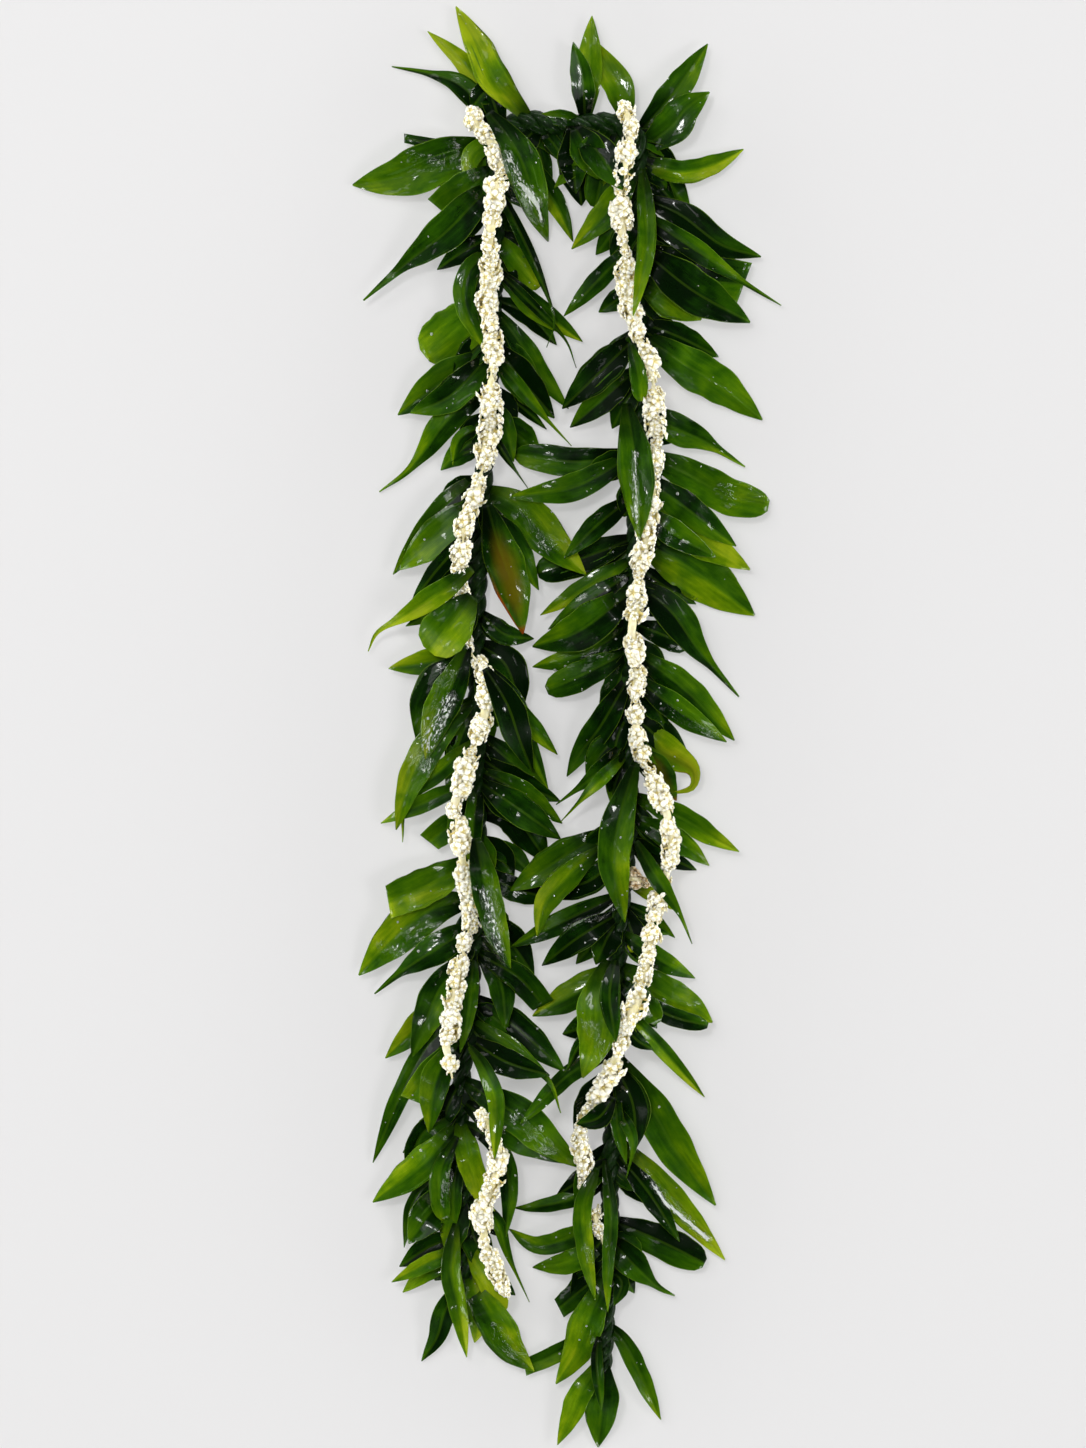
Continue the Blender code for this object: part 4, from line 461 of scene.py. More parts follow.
class LeafBlade:
    def __init__(self, points, width, outline, tone):
        draw = random.Random(f"{points[-1]} {width}")
        self.route = smoothRoute(points)
        self.length = lengthsAlong(self.route)[-1]
        steps = int(np.clip(round(self.length / plan["bladeSpan"]), *plan["bladeSpans"]))
        self.share = share = np.linspace(0, 1, steps + 1)
        self.middle, self.heading, self.side = self.linesAt(share)
        self.outline = np.array(outlines[outline])
        self.half = np.maximum(np.interp(share, *self.outline.T) * width / 2, plan["leastHalf"])
        tipHeight = plan["floorGap"] + draw.uniform(*plan["tipLifts"])
        arch = draw.uniform(*plan["arches"]) * self.length / plan["archLength"]
        root = plan["ropeHeight"]
        self.height = root + (tipHeight - root) * share + arch * np.sin(math.pi * share**plan["archPower"])
        self.fold = draw.uniform(*plan["folds"]) * draw.choice((1, 1, -1))
        self.bank = draw.uniform(*plan["banks"])
        self.waveTurns, self.wavePhase = draw.uniform(*plan["edgeTurns"]), draw.random()
        self.width = width
        self.lift = self.liftAt(share, self.half)
        self.cutSlant = width * plan["cutSlant"] * draw.choice((1, -1)) if outline == "cut" else 0.0
        self.tone, self.brown = tone, 0.0
        self.draw = draw

    def linesAt(self, share):
        middle = atLengths(self.route, share * self.length)
        heading = headings(atLengths(self.route, np.clip(share, 0.01, 0.99) * self.length))
        return middle, heading, sideways(heading)

    def liftAt(self, share, half):
        turned = np.sin(math.tau * (self.waveTurns * share + self.wavePhase))
        wave = plan["edgeWave"] * self.width * turned * share
        left = half * (self.fold + self.bank) + wave
        right = half * (self.fold - self.bank) - wave
        return np.stack([left, right], axis=1)

    def edges(self):
        lines = []
        for sign, column in ((1, 0), (-1, 1)):
            xy = self.middle + self.side * (sign * self.half)[:, None]
            xy[-1] += self.heading[-1] * sign * self.cutSlant
            lines.append(np.column_stack([xy, self.height + self.lift[:, column]]))
        return lines[0], np.column_stack([self.middle, self.height]), lines[1]

    def halfThickness(self):
        run = np.linalg.norm(np.gradient(self.middle, axis=0), axis=1)
        thick = plan["bladeThickness"] / 2 * np.sqrt(1 + np.minimum((np.gradient(self.height) / run)**2, 4))
        thick[-1] *= plan["pointThins"] if self.half[-1] < 1 else 1
        return thick

    def surface(self):
        # Points all over the blade: place, half thickness there, span, and share of that span.
        left, rib, right = self.edges()
        thick = self.halfThickness()[:, None]
        sizes = (self.half.max(), self.length / (len(rib) - 1))
        samples = [max(3, int(size / plan["sampleStep"]) + 1) for size in sizes]
        across, along = (np.linspace(0, 1, count) for count in samples)
        gathered = []
        for edge in (left, right):
            rows = rib[:, None] + (edge - rib)[:, None] * across[:, None]
            sheet = np.dstack([rows, thick * (1 - across)])
            filled = sheet[:-1, None] + (sheet[1:] - sheet[:-1])[:, None] * along[:, None, None]
            spans = np.arange(len(filled))[:, None, None]
            spans, shares = (np.broadcast_to(values, filled.shape[:3]) for values in (spans, along[:, None]))
            gathered.append(np.column_stack([filled.reshape(-1, 4), spans.reshape(-1), shares.reshape(-1)]))
        return np.vstack(gathered)

    def topPoints(self):
        points = self.surface()
        return np.column_stack([points[:, :2], points[:, 2] + points[:, 3]])

    def lowest(self):
        left, rib, right = self.edges()
        return min(left[:, 2].min(), right[:, 2].min(), (rib[:, 2] - self.halfThickness()).min())


def settle(blade, below, own=None):
    # Lifts a blade turn by turn until it clears what lies below. With a rope of its own, its root stays put.
    run = np.linalg.norm(np.diff(blade.middle, axis=0), axis=1)
    first = 0 if own is None else 1
    for turn in range(plan["settleTurns"]):
        points = blade.surface()
        step, share = points[:, 4].astype(int), points[:, 5]
        needed = np.maximum(below.height(points[:, :2]), plan["floorGap"] - plan["layGap"])
        if own is not None:
            fromRoot = (blade.share[step] + share * blade.share[1]) * blade.length
            needed = np.maximum(needed, np.where(fromRoot > plan["fuseReach"], own.height(points[:, :2]), 0))
        short = needed + plan["layGap"] - (points[:, 2] - points[:, 3])
        loose = plan["looseShare"] if turn < plan["looseTurns"] else 0.0
        rise = np.zeros(len(blade.height))
        np.maximum.at(rise, step, np.where(share <= 1 - loose, short, 0))
        np.maximum.at(rise, step + 1, np.where(share >= loose, short, 0))
        rise[:first] = 0
        height = blade.height + rise
        drop = plan["steepest"] * run
        for index in range(first, len(run)):
            height[index + 1] = max(height[index + 1], height[index] - drop[index])
        for index in range(len(run) - 1, first - 1, -1):
            height[index] = max(height[index], height[index + 1] - drop[index])
        for index in range(first + 1, len(run)):
            chord = (height[index - 1] + height[index + 1]) / 2
            height[index] = max(height[index], chord - plan["sag"] * run[index])
        blade.height = height
    return blade


class BlossomString:
    def __init__(self, points):
        points = np.array(points, float)
        places = []
        for index, span in enumerate(np.linalg.norm(np.diff(points[:, :2], axis=0), axis=1)):
            steps = math.ceil(span / plan["blossomStep"])
            places += [index + step / steps for step in range(steps)]
        places.append(len(points) - 1)
        placed = np.stack([np.interp(places, np.arange(len(points)), column) for column in points.T], axis=1)
        self.middle, self.width = placed[:, :2], placed[:, 2]
        self.radius = np.maximum(self.width, plan["blossomLeast"]) / 2
        self.side = sideways(headings(self.middle))
        self.height = self.radius * plan["blossomFlatten"] + plan["ropeHeight"]

    def lines(self):
        # Lines that run along the string, each with its middle's heights and its own depth from there.
        reach = self.radius * (1 + plan["blossomKnob"])
        marksAlong, marksAcross = plan["blossomMarks"]
        for along in np.linspace(0, 1, marksAlong):
            middle, radius, height = (between(values, along) for values in (self.middle, reach, self.height))
            for share in np.linspace(-1, 1, marksAcross):
                xy = middle + self.side[:-1] * (radius * share)[:, None]
                yield xy, height, radius * plan["blossomFlatten"] * math.sqrt(max(0.0, 1 - share**2))

    def settle(self, below):
        for _ in range(plan["stringTurns"]):
            rise = np.zeros(len(self.height))
            for xy, height, depth in self.lines():
                short = np.maximum(below.height(xy), plan["floorGap"]) + plan["layGap"] - (height - depth)
                rise[:-1] = np.maximum(rise[:-1], short)
                rise[1:] = np.maximum(rise[1:], short)
            self.height = self.height + rise
            for _ in range(plan["levelTurns"]):
                level = (self.height[:-2] + self.height[2:]) / 2
                self.height[1:-1] = np.maximum(self.height[1:-1], level)
            if rise.max() <= 0:
                break
        return self

    def lowest(self):
        lows = []
        for index, radius in enumerate(self.radius):
            for corner in range(plan["blossomSides"]):
                knob = 1 + plan["blossomKnob"] * (1 if (index + corner) % 2 else -1)
                angle = math.tau * corner / plan["blossomSides"]
                lift = radius * knob * plan["blossomFlatten"] * math.sin(angle)
                lows.append(self.height[index] + lift)
        return min(lows)

    def cover(self, surface):
        for xy, height, depth in self.lines():
            surface.raiseTo(np.column_stack([xy, height + depth]))


def bentBlade(root, length, angle, bend, width, tone):
    x, y = root
    middle = (x + 0.5 * length * math.sin(angle * bend), y - 0.5 * length * math.cos(angle * bend))
    tip = (x + length * math.sin(angle), y - length * math.cos(angle))
    return LeafBlade([(x, y), middle, tip], width, "point", tone)


def shortLeaves(rope, section):
    draw = random.Random(section)
    root = rope.at(section + draw.uniform(*plan["shortPlaces"]))
    if root[1] < plan["shortTailY"]:
        return []
    length = draw.uniform(*plan["shortLengths"])
    angle = math.radians(draw.uniform(*plan["shortAngles"])) * (1 if section % 2 else -1)
    width = draw.uniform(*plan["shortWidths"])
    return [bentBlade(root, length, angle, plan["shortBend"], width, plan["shortTone"])]


def sectionNames(rope):
    names = {}
    counts = {"left": 0, "neck": 0, "right": 0}
    for section in range(plan["ropeSections"]):
        x, y = rope.at(section + 0.5)
        part = "neck" if y > plan["neckY"] else ("left" if x < plan["leftOf"] else "right")
        counts[part] += 1
        names[section] = f"leaves_{part}_{counts[part]:02d}"
    return names


def onItsSolid(laid, name):
    laid.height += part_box(name)[0].z / mm - laid.lowest()
    return laid


def layEverything():
    # Lays leaves, blossoms and front leaves in the order that the solids were laid in.
    rope = Rope()
    sections = range(plan["ropeSections"])
    rings = [rope.rings(section) for section in sections]
    leaves = [shortLeaves(rope, section) for section in sections]
    for points, width, outline, tone in ropeLeaves:
        section, root = rope.rootOf(points[0])
        leaves[section].append(LeafBlade([root] + points[1:], width, outline, tone))
    placed, wholeRope = HeightMap(), HeightMap()
    for sectionRings in rings:
        markRope(wholeRope, sectionRings)
    for section in sorted(sections, key=lambda index: rope.at(index + 0.5)[1]):
        below, own = HeightMap(), HeightMap()
        below.top = placed.top.copy()
        for other in sections:
            if other != section and abs(other - section) <= plan["reachSections"]:
                markRope(below, rings[other])
        markRope(own, rings[section])
        for blade in leaves[section]:
            settle(blade, below, own)
            own.raiseTo(blade.topPoints())
        placed.top = np.maximum(placed.top, own.top)
    placed.top = np.maximum(placed.top, wholeRope.top)
    strings, fronts = {}, {}
    for name, points in blossomStrings.items():
        strings[name] = onItsSolid(BlossomString(points).settle(placed), name)
        strings[name].cover(placed)
    for name, (points, width, outline, tone) in frontLeaves.items():
        fronts[name] = onItsSolid(settle(LeafBlade(points, width, outline, tone), placed), name)
        placed.raiseTo(fronts[name].topPoints())
    return rope, sectionNames(rope), leaves, strings, fronts, placed


rope, namesOfSections, sectionLeaves, laidStrings, laidFronts, heightsLaid = layEverything()
print("laid", sum(map(len, sectionLeaves)), "leaves,", len(laidStrings), "strings and",
      len(laidFronts), "front leaves")


# Where a film of water lies on the leaves: a line from start to end in mm, its width and its strength.
# Strengths above 1 also paint a pale highlight into the leaf's colour there.
waterFilms = [
    (42, 160, 45, 143, 5, 1), (44, 140, 45, 122, 5, 1), (-52, -94, -42, -127, 5, 1),
    (-52, -125, -40, -150, 9, 0.8),
    (52, -287, 88, -327, 6, 1), (54, -291, 63, -304, 3.2, 1.75), (63, -304, 90, -327, 4, 1.8),
    (43, 176, 44, 130, 2.4, 1.7), (-52, -106, -43, -142, 7, 1.5), (-75, -285, -79, -302, 5, 1),
    (51, -168, 61, -175, 5, 1), (-68, -345, -62, -380, 5, 0.8), (13, -333, 15, -341, 5, 1),
    (32, -115, 0, -128, 5, 0.8), (-77, 32, -93, -20, 16, 1), (-75, 17, -89, -12, 11, 1.6),
    (-28, 135, -10, 115, 10, 0.8), (-30, -250, -10, -272, 11, 0.8), (100, 152, 105, 143, 8, 0.7),
    (58, 127, 64, 121, 9, 0.7), (12, 45, 22, 48, 8, 0.7), (65, 10, 95, -5, 9, 0.7),
    (15, -190, 25, -210, 10, 0.9),
    (-45, -385, -30, -400, 10, 0.9), (12, -385, 16, -392, 8, 0.8), (-100, -133, -82, -128, 9, 0.7),
    (-108, -145, -121, -142, 8, 0.7), (-38, 360, -28, 335, 12, 1), (-38, 364, -30, 350, 5, 1.65),
    (-30, 346, -20, 334, 8, 1.65), (-19, 334, -16, 322, 3, 1.7), (-28, 335, -18, 310, 9, 1),
    (-36, -94, -48, -122, 6, 1), (-50, -122, -52, -150, 6, 0.8), (-75, 372, -60, 352, 8, 0.8),
    (-100, 364, -80, 360, 7, 0.8),
]

filmEnds = 1.5  # in half widths from its line


def filmAt(xy):
    film = np.zeros(len(xy))
    for startX, startY, endX, endY, width, strength in waterFilms:
        start, span = np.array([startX, startY], float), np.array([endX - startX, endY - startY], float)
        along = np.clip((xy - start) @ span / (span @ span), 0, 1)
        reach = np.linalg.norm(xy - start - along[:, None] * span, axis=1) / (width / 2)
        film = np.maximum(film, strength * np.clip(filmEnds - reach, 0, 1))
    return film


# Leaves with a satin sheen, and leaves that have begun to age, by the place of their tips.
satinTips = [
    (-111, 98), (-124, -278), (-101, -290), (-104, -332), (-18, 391), (95, 109), (91, -88), (58, -188),
    (-12, 63), (4, 438),
]
agedTips = [(66, -42)]
tipReach = 6


def isNear(tip, places):
    return float(any(math.dist(tip, place) < tipReach for place in places))


def linked(name, data):
    obj = bpy.data.objects.new(name, data)
    bpy.context.scene.collection.objects.link(obj)
    return obj


def meshObject(name, points, faces=(), edges=()):
    mesh = bpy.data.meshes.new(name)
    mesh.from_pydata(points, edges, faces)
    mesh.shade_smooth()
    return linked(name, mesh)


def stackFaces(parts):
    # Faces of several parts, numbered on from one part to the next.
    faces, first = [], 0
    for count, own in parts:
        faces += [[first + corner for corner in face] for face in own]
        first += count
    return faces


def store(mesh, name, values, kind="FLOAT"):
    attribute = mesh.attributes.new(name, kind, "POINT")
    key = "color" if kind == "FLOAT_COLOR" else "value"
    attribute.data.foreach_set(key, np.array(values, np.float32).ravel())


def quads(grid):
    return np.stack([grid[:-1, :-1], grid[1:, :-1], grid[1:, 1:], grid[:-1, 1:]], axis=-1).reshape(-1, 4)


# Fine leaves: a grid over each blade with a rounded midrib, pleats, waved edges and a thin closed body.
leafForm = {
    "thickness": 0.45, "floorMargin": 0.35, "stepLength": 2.9, "leastSteps": 10, "mostSteps": 38,
    "crowding": 0.035, "leastHalf": 0.28,
    "columns": [-1, -0.955, -0.84, -0.66, -0.46, -0.28, -0.12, 0, 0.12, 0.28, 0.46, 0.66, 0.84, 0.955, 1],
    "underColumns": [3, 7, 11], "roundRib": 0.2, "grooveDepth": 0.35, "grooveWidth": 1.0, "grooveFullAt": 4,
    "edgeWave": (0.012, 0.045), "edgeTurns": (1.6, 3.6), "waveEndsAt": 1.15,
    "edgeWander": 0.035, "wanderTurns": (2.0, 4.5), "wanderPower": 1.3,
    "wavePower": 2.2, "tipPower": 1.5,
    "pleat": (0.06, 0.22), "pleatCounts": (5, 6, 7), "cup": (-0.1, 0.16), "tipTurn": 0.3, "tipFrom": 0.45,
    "mapScale": 0.01, "agedShare": 0.5,
}


def fineLeaf(blade):
    form, draw = leafForm, blade.draw
    steps = int(np.clip(blade.length / form["stepLength"], form["leastSteps"], form["mostSteps"]))
    share = np.linspace(0, 1, steps + 1)
    share = share + form["crowding"] * np.sin(math.tau * share)
    middle, heading, side = blade.linesAt(share)
    half = np.maximum(smoothThrough(*blade.outline.T, share) * blade.width / 2, form["leastHalf"])
    lift = blade.liftAt(share, half)
    across, roundRib = np.array(form["columns"]), form["roundRib"]
    away = np.abs(across)
    rounded = (np.sqrt(away**2 + roundRib**2) - roundRib) / (math.hypot(1, roundRib) - roundRib)
    rise = np.where(across > 0, lift[:, :1], lift[:, 1:])
    height = smoothThrough(blade.share, blade.height, share)[:, None] + rise * rounded
    cup = draw.uniform(*form["cup"])
    height += cup * half[:, None] * (away**2 - away)
    bulge = np.sin(math.pi * share)
    offset = across * half[:, None]
    for sign in (-1, 1):
        turns, phase = draw.uniform(*form["wanderTurns"]), draw.random()
        wander = form["edgeWander"] * np.sin(math.tau * (turns * share**form["wanderPower"] + phase)) * bulge
        offset = offset * (1 + wander[:, None] * np.clip(across * sign, 0, 1)[None])
    groove = np.exp(-(offset / form["grooveWidth"])**2) * np.clip(half / form["grooveFullAt"], 0, 1)[:, None]
    height -= form["grooveDepth"] * groove
    pleat = draw.uniform(*form["pleat"])
    pleat = pleat * np.cos(across * math.pi * draw.choice(form["pleatCounts"]) + draw.random())
    height += pleat * bulge[:, None]
    for sign in (-1, 1):
        size = draw.uniform(*form["edgeWave"]) * blade.width
        turns, phase = draw.uniform(*form["edgeTurns"]), draw.random()
        swelling = np.sin(math.pi * np.minimum(share * form["waveEndsAt"], 1))
        wave = size * np.sin(math.tau * (turns * share + phase)) * swelling
        height += wave[:, None] * np.clip(across * sign, 0, 1)**form["wavePower"]
    turn = draw.uniform(-form["tipTurn"], form["tipTurn"])
    height += turn * offset * (np.clip(share - form["tipFrom"], 0, 1)**form["tipPower"])[:, None]
    xy = middle[:, None, :] + side[:, None, :] * offset[:, :, None]
    for row, amount in ((-1, 1), (-2, 0.5)):
        xy[row] += heading[row] * across[:, None] * blade.cutSlant * amount
    top = np.dstack([xy, np.maximum(height, form["thickness"] + form["floorMargin"])])
    inner, rows = form["underColumns"], steps + 1
    under = top[:, inner] - np.array([0, 0, form["thickness"]])
    upper = np.arange(rows * len(across)).reshape(rows, -1)
    lower = upper.size + np.arange(rows * len(inner)).reshape(rows, -1)
    chain = np.column_stack([upper[:, 0], lower, upper[:, -1]])
    faces = quads(upper).tolist() + quads(chain)[:, [0, 3, 2, 1]].tolist()
    faces.append([*upper[0], *lower[0, ::-1]])
    faces.append([*upper[-1, ::-1], *lower[-1]])
    maps = [share[:, None], across / 2 + 0.5, share[:, None] * blade.length, offset]
    maps = np.dstack(np.broadcast_arrays(*maps))
    maps = np.vstack([maps.reshape(-1, 4), maps[:, inner].reshape(-1, 4)])
    satin = isNear(blade.route[-1], satinTips)
    brown = max(blade.brown, form["agedShare"] * isNear(blade.route[-1], agedTips))
    return {
        "points": np.vstack([top.reshape(-1, 3), under.reshape(-1, 3)]), "faces": faces,
        "share": maps[:, :2], "mm": maps[:, 2:] * form["mapScale"],
        "tint": np.tile([blade.tone, draw.random(), satin, brown], (len(maps), 1)),
        "under": np.repeat([0.0, 1.0], [upper.size, lower.size]),
    }


def leafObject(name, blades):
    parts = [fineLeaf(blade) for blade in blades]
    keys = ("points", "share", "mm", "tint", "under")
    whole = {key: np.concatenate([part[key] for part in parts]) for key in keys}
    points = whole["points"]
    points[:, :2] += plan["laidShift"]
    leaf = meshObject(name, points * mm, stackFaces((len(part["points"]), part["faces"]) for part in parts))
    mesh = leaf.data
    corners = np.empty(len(mesh.loops), np.int32)
    mesh.loops.foreach_get("vertex_index", corners)
    for layer, key in (("leafShare", "share"), ("leafMm", "mm")):
        values = whole[key][corners].astype(np.float32).ravel()
        mesh.uv_layers.new(name=layer).uv.foreach_set("vector", values)
    store(mesh, "leafTint", whole["tint"], "FLOAT_COLOR")
    store(mesh, "leafFilm", filmAt(points[:, :2]))
    store(mesh, "leafUnder", whole["under"])
    return leaf


# Nodes. A wire is a node's output, and wires can be added and multiplied, so a tree reads as a formula.
def plug(node, inputs):
    for key, value in dict(inputs).items():
        if isinstance(value, Wire):
            value.tree.links.new(value.socket, node.inputs[key])
        else:
            node.inputs[key].default_value = value


def addNode(tree, kind, inputs=(), **settings):
    node = tree.nodes.new(kind)
    for key, value in settings.items():
        setattr(node, key, value)
    plug(node, inputs)
    return node


def wire(tree, kind, inputs=(), out=0, **settings):
    node = addNode(tree, kind, inputs, **settings)
    return [Wire(node.outputs[key]) for key in out] if isinstance(out, tuple) else Wire(node.outputs[out])


class Wire:
    def __init__(self, socket):
        self.socket = socket
        self.tree = socket.id_data

    def node(self, kind, inputs, out=0, **settings):
        return wire(self.tree, kind, inputs, out, **settings)

    def math(self, operation, other=0.0, clamp=False):
        return self.node("ShaderNodeMath", {0: self, 1: other}, operation=operation, use_clamp=clamp)

    def __add__(self, other):
        return self.math("ADD", other)

    def __sub__(self, other):
        return self.math("SUBTRACT", other)

    def __rsub__(self, other):
        return self.node("ShaderNodeMath", {0: other, 1: self}, operation="SUBTRACT")

    def __mul__(self, other):
        return self.math("MULTIPLY", other)

    def __truediv__(self, other):
        return self.math("DIVIDE", other)

    def ranged(self, low, high, newLow=0.0, newHigh=1.0):
        inputs = {"Value": self, "From Min": low, "From Max": high, "To Min": newLow, "To Max": newHigh}
        return self.node("ShaderNodeMapRange", inputs, interpolation_type="SMOOTHSTEP")

    def noise(self, scale, detail=2.0, roughness=0.5, distortion=0.0):
        inputs = {"Vector": self, "Scale": scale, "Detail": detail, "Roughness": roughness}
        return self.node("ShaderNodeTexNoise", {**inputs, "Distortion": distortion})

    def ramp(self, stops):
        node = addNode(self.tree, "ShaderNodeValToRGB", {0: self})
        ramp = node.color_ramp
        while len(ramp.elements) < len(stops):
            ramp.elements.new(0.5)
        for element, (place, color) in zip(ramp.elements, stops):
            element.position = place
            element.color = (*color, 1)
        return Wire(node.outputs[0])

    def mixed(self, share, color):
        return self.node("ShaderNodeMix", {0: share, 6: self, 7: color}, 2, data_type="RGBA")

    def blended(self, share, value):
        return self.node("ShaderNodeMix", {0: share, 2: self, 3: value}, data_type="FLOAT")

    def bump(self, distance, strength):
        return self.node("ShaderNodeBump", {"Height": self, "Distance": distance, "Strength": strength})

    def stretched(self, scale):
        return self.node("ShaderNodeMapping", {"Vector": self, "Scale": scale})

    def scaled(self, amount):
        return self.node("ShaderNodeVectorMath", {0: self, "Scale": amount}, operation="SCALE")

    def moved(self, other):
        return self.node("ShaderNodeVectorMath", {0: self, 1: other}, operation="ADD")

    def turned(self, axis, angle):
        inputs = {"Vector": self, "Axis": axis, "Angle": angle}
        return self.node("ShaderNodeVectorRotate", inputs, rotation_type="AXIS_ANGLE")


def newMaterial(name):
    material = bpy.data.materials.new(name)
    material.use_nodes = True
    tree = material.node_tree
    return material, tree.nodes["Principled BSDF"], wire(tree, "ShaderNodeTexCoord", out="Object")


leafLook = {
    "tones": [
        (0.0, (0.0008, 0.007, 0.0001)), (0.2, (0.0045, 0.026, 0.0002)), (0.42, (0.02, 0.074, 0.0003)),
        (0.62, (0.05, 0.128, 0.0004)), (0.8, (0.115, 0.21, 0.0008)), (1.0, (0.25, 0.33, 0.006)),
    ],
    "pivot": 0.37, "contrast": 1.65, "tipLighter": 0.28, "tipMiddle": 0.45,
    "paintedRootShade": 0.28, "paintedRootShadeEnd": 0.4,
    "blotches": 0.5, "blotchScale": 38.0, "streaks": 0.28, "streakScale": (5.0, 34.0, 1.0),
    "specks": 0.08, "speckScale": 420.0, "paintedFoldShade": 0.5,
    "veins": 0.022, "veinSlope": -0.14, "veinScale": 760.0,
    "paleMarginAndRimLight": (0.16, 0.3, 0.015, 1), "paleMarginAndRimLightShare": 0.42, "paleMarginAndRimLightEdge": (0.93, 0.985),
    "midrib": (0.09, 0.2, 0.005, 1), "midribShare": 0.18, "midribEdge": (0.011, 0.004),
    "underside": (0.05, 0.13, 0.01, 1), "undersideShare": 0.8,
    "olive": (0.15, 0.085, 0.003, 1), "oliveShare": 0.62, "oliveEdge": (-0.25, 0.5),
    "oliveFrom": (0.15, 0.45), "oliveTo": (0.98, 0.7),
    "brown": (0.24, 0.05, 0.004, 1), "brownEdge": (0.12, 0.03), "brownFrom": (0.45, 0.7),
    "brownTip": (0.92, 0.99),
    "filmScale": (9.0, 22.0, 1.0), "filmWets": 0.2, "wetShare": (0.59, 0.62),
    "frost": (0.8, 0.84, 0.8, 1), "paintedHighlightShare": 0.88, "paintedHighlightScale": 3.4, "paintedHighlightEdge": (0.52, 0.6),
    "paintedHighlightFilm": (1.05, 1.4), "paintedHighlightFull": (1.6, 1.68),
    "dryRoughness": 0.4, "wetRoughness": 0.07, "satinRoughness": 0.3,
    "gloss": 0.03, "dryCoat": 0.03, "satinCoat": 0.5, "wetCoat": 1.0, "coatRoughness": 0.05,
    "ripple": 0.4, "rippleScale": 80.0, "fineRipple": 0.03, "veinBump": 0.005,
    "filmRipple": 1.8, "bumpDepth": 0.0012,
}


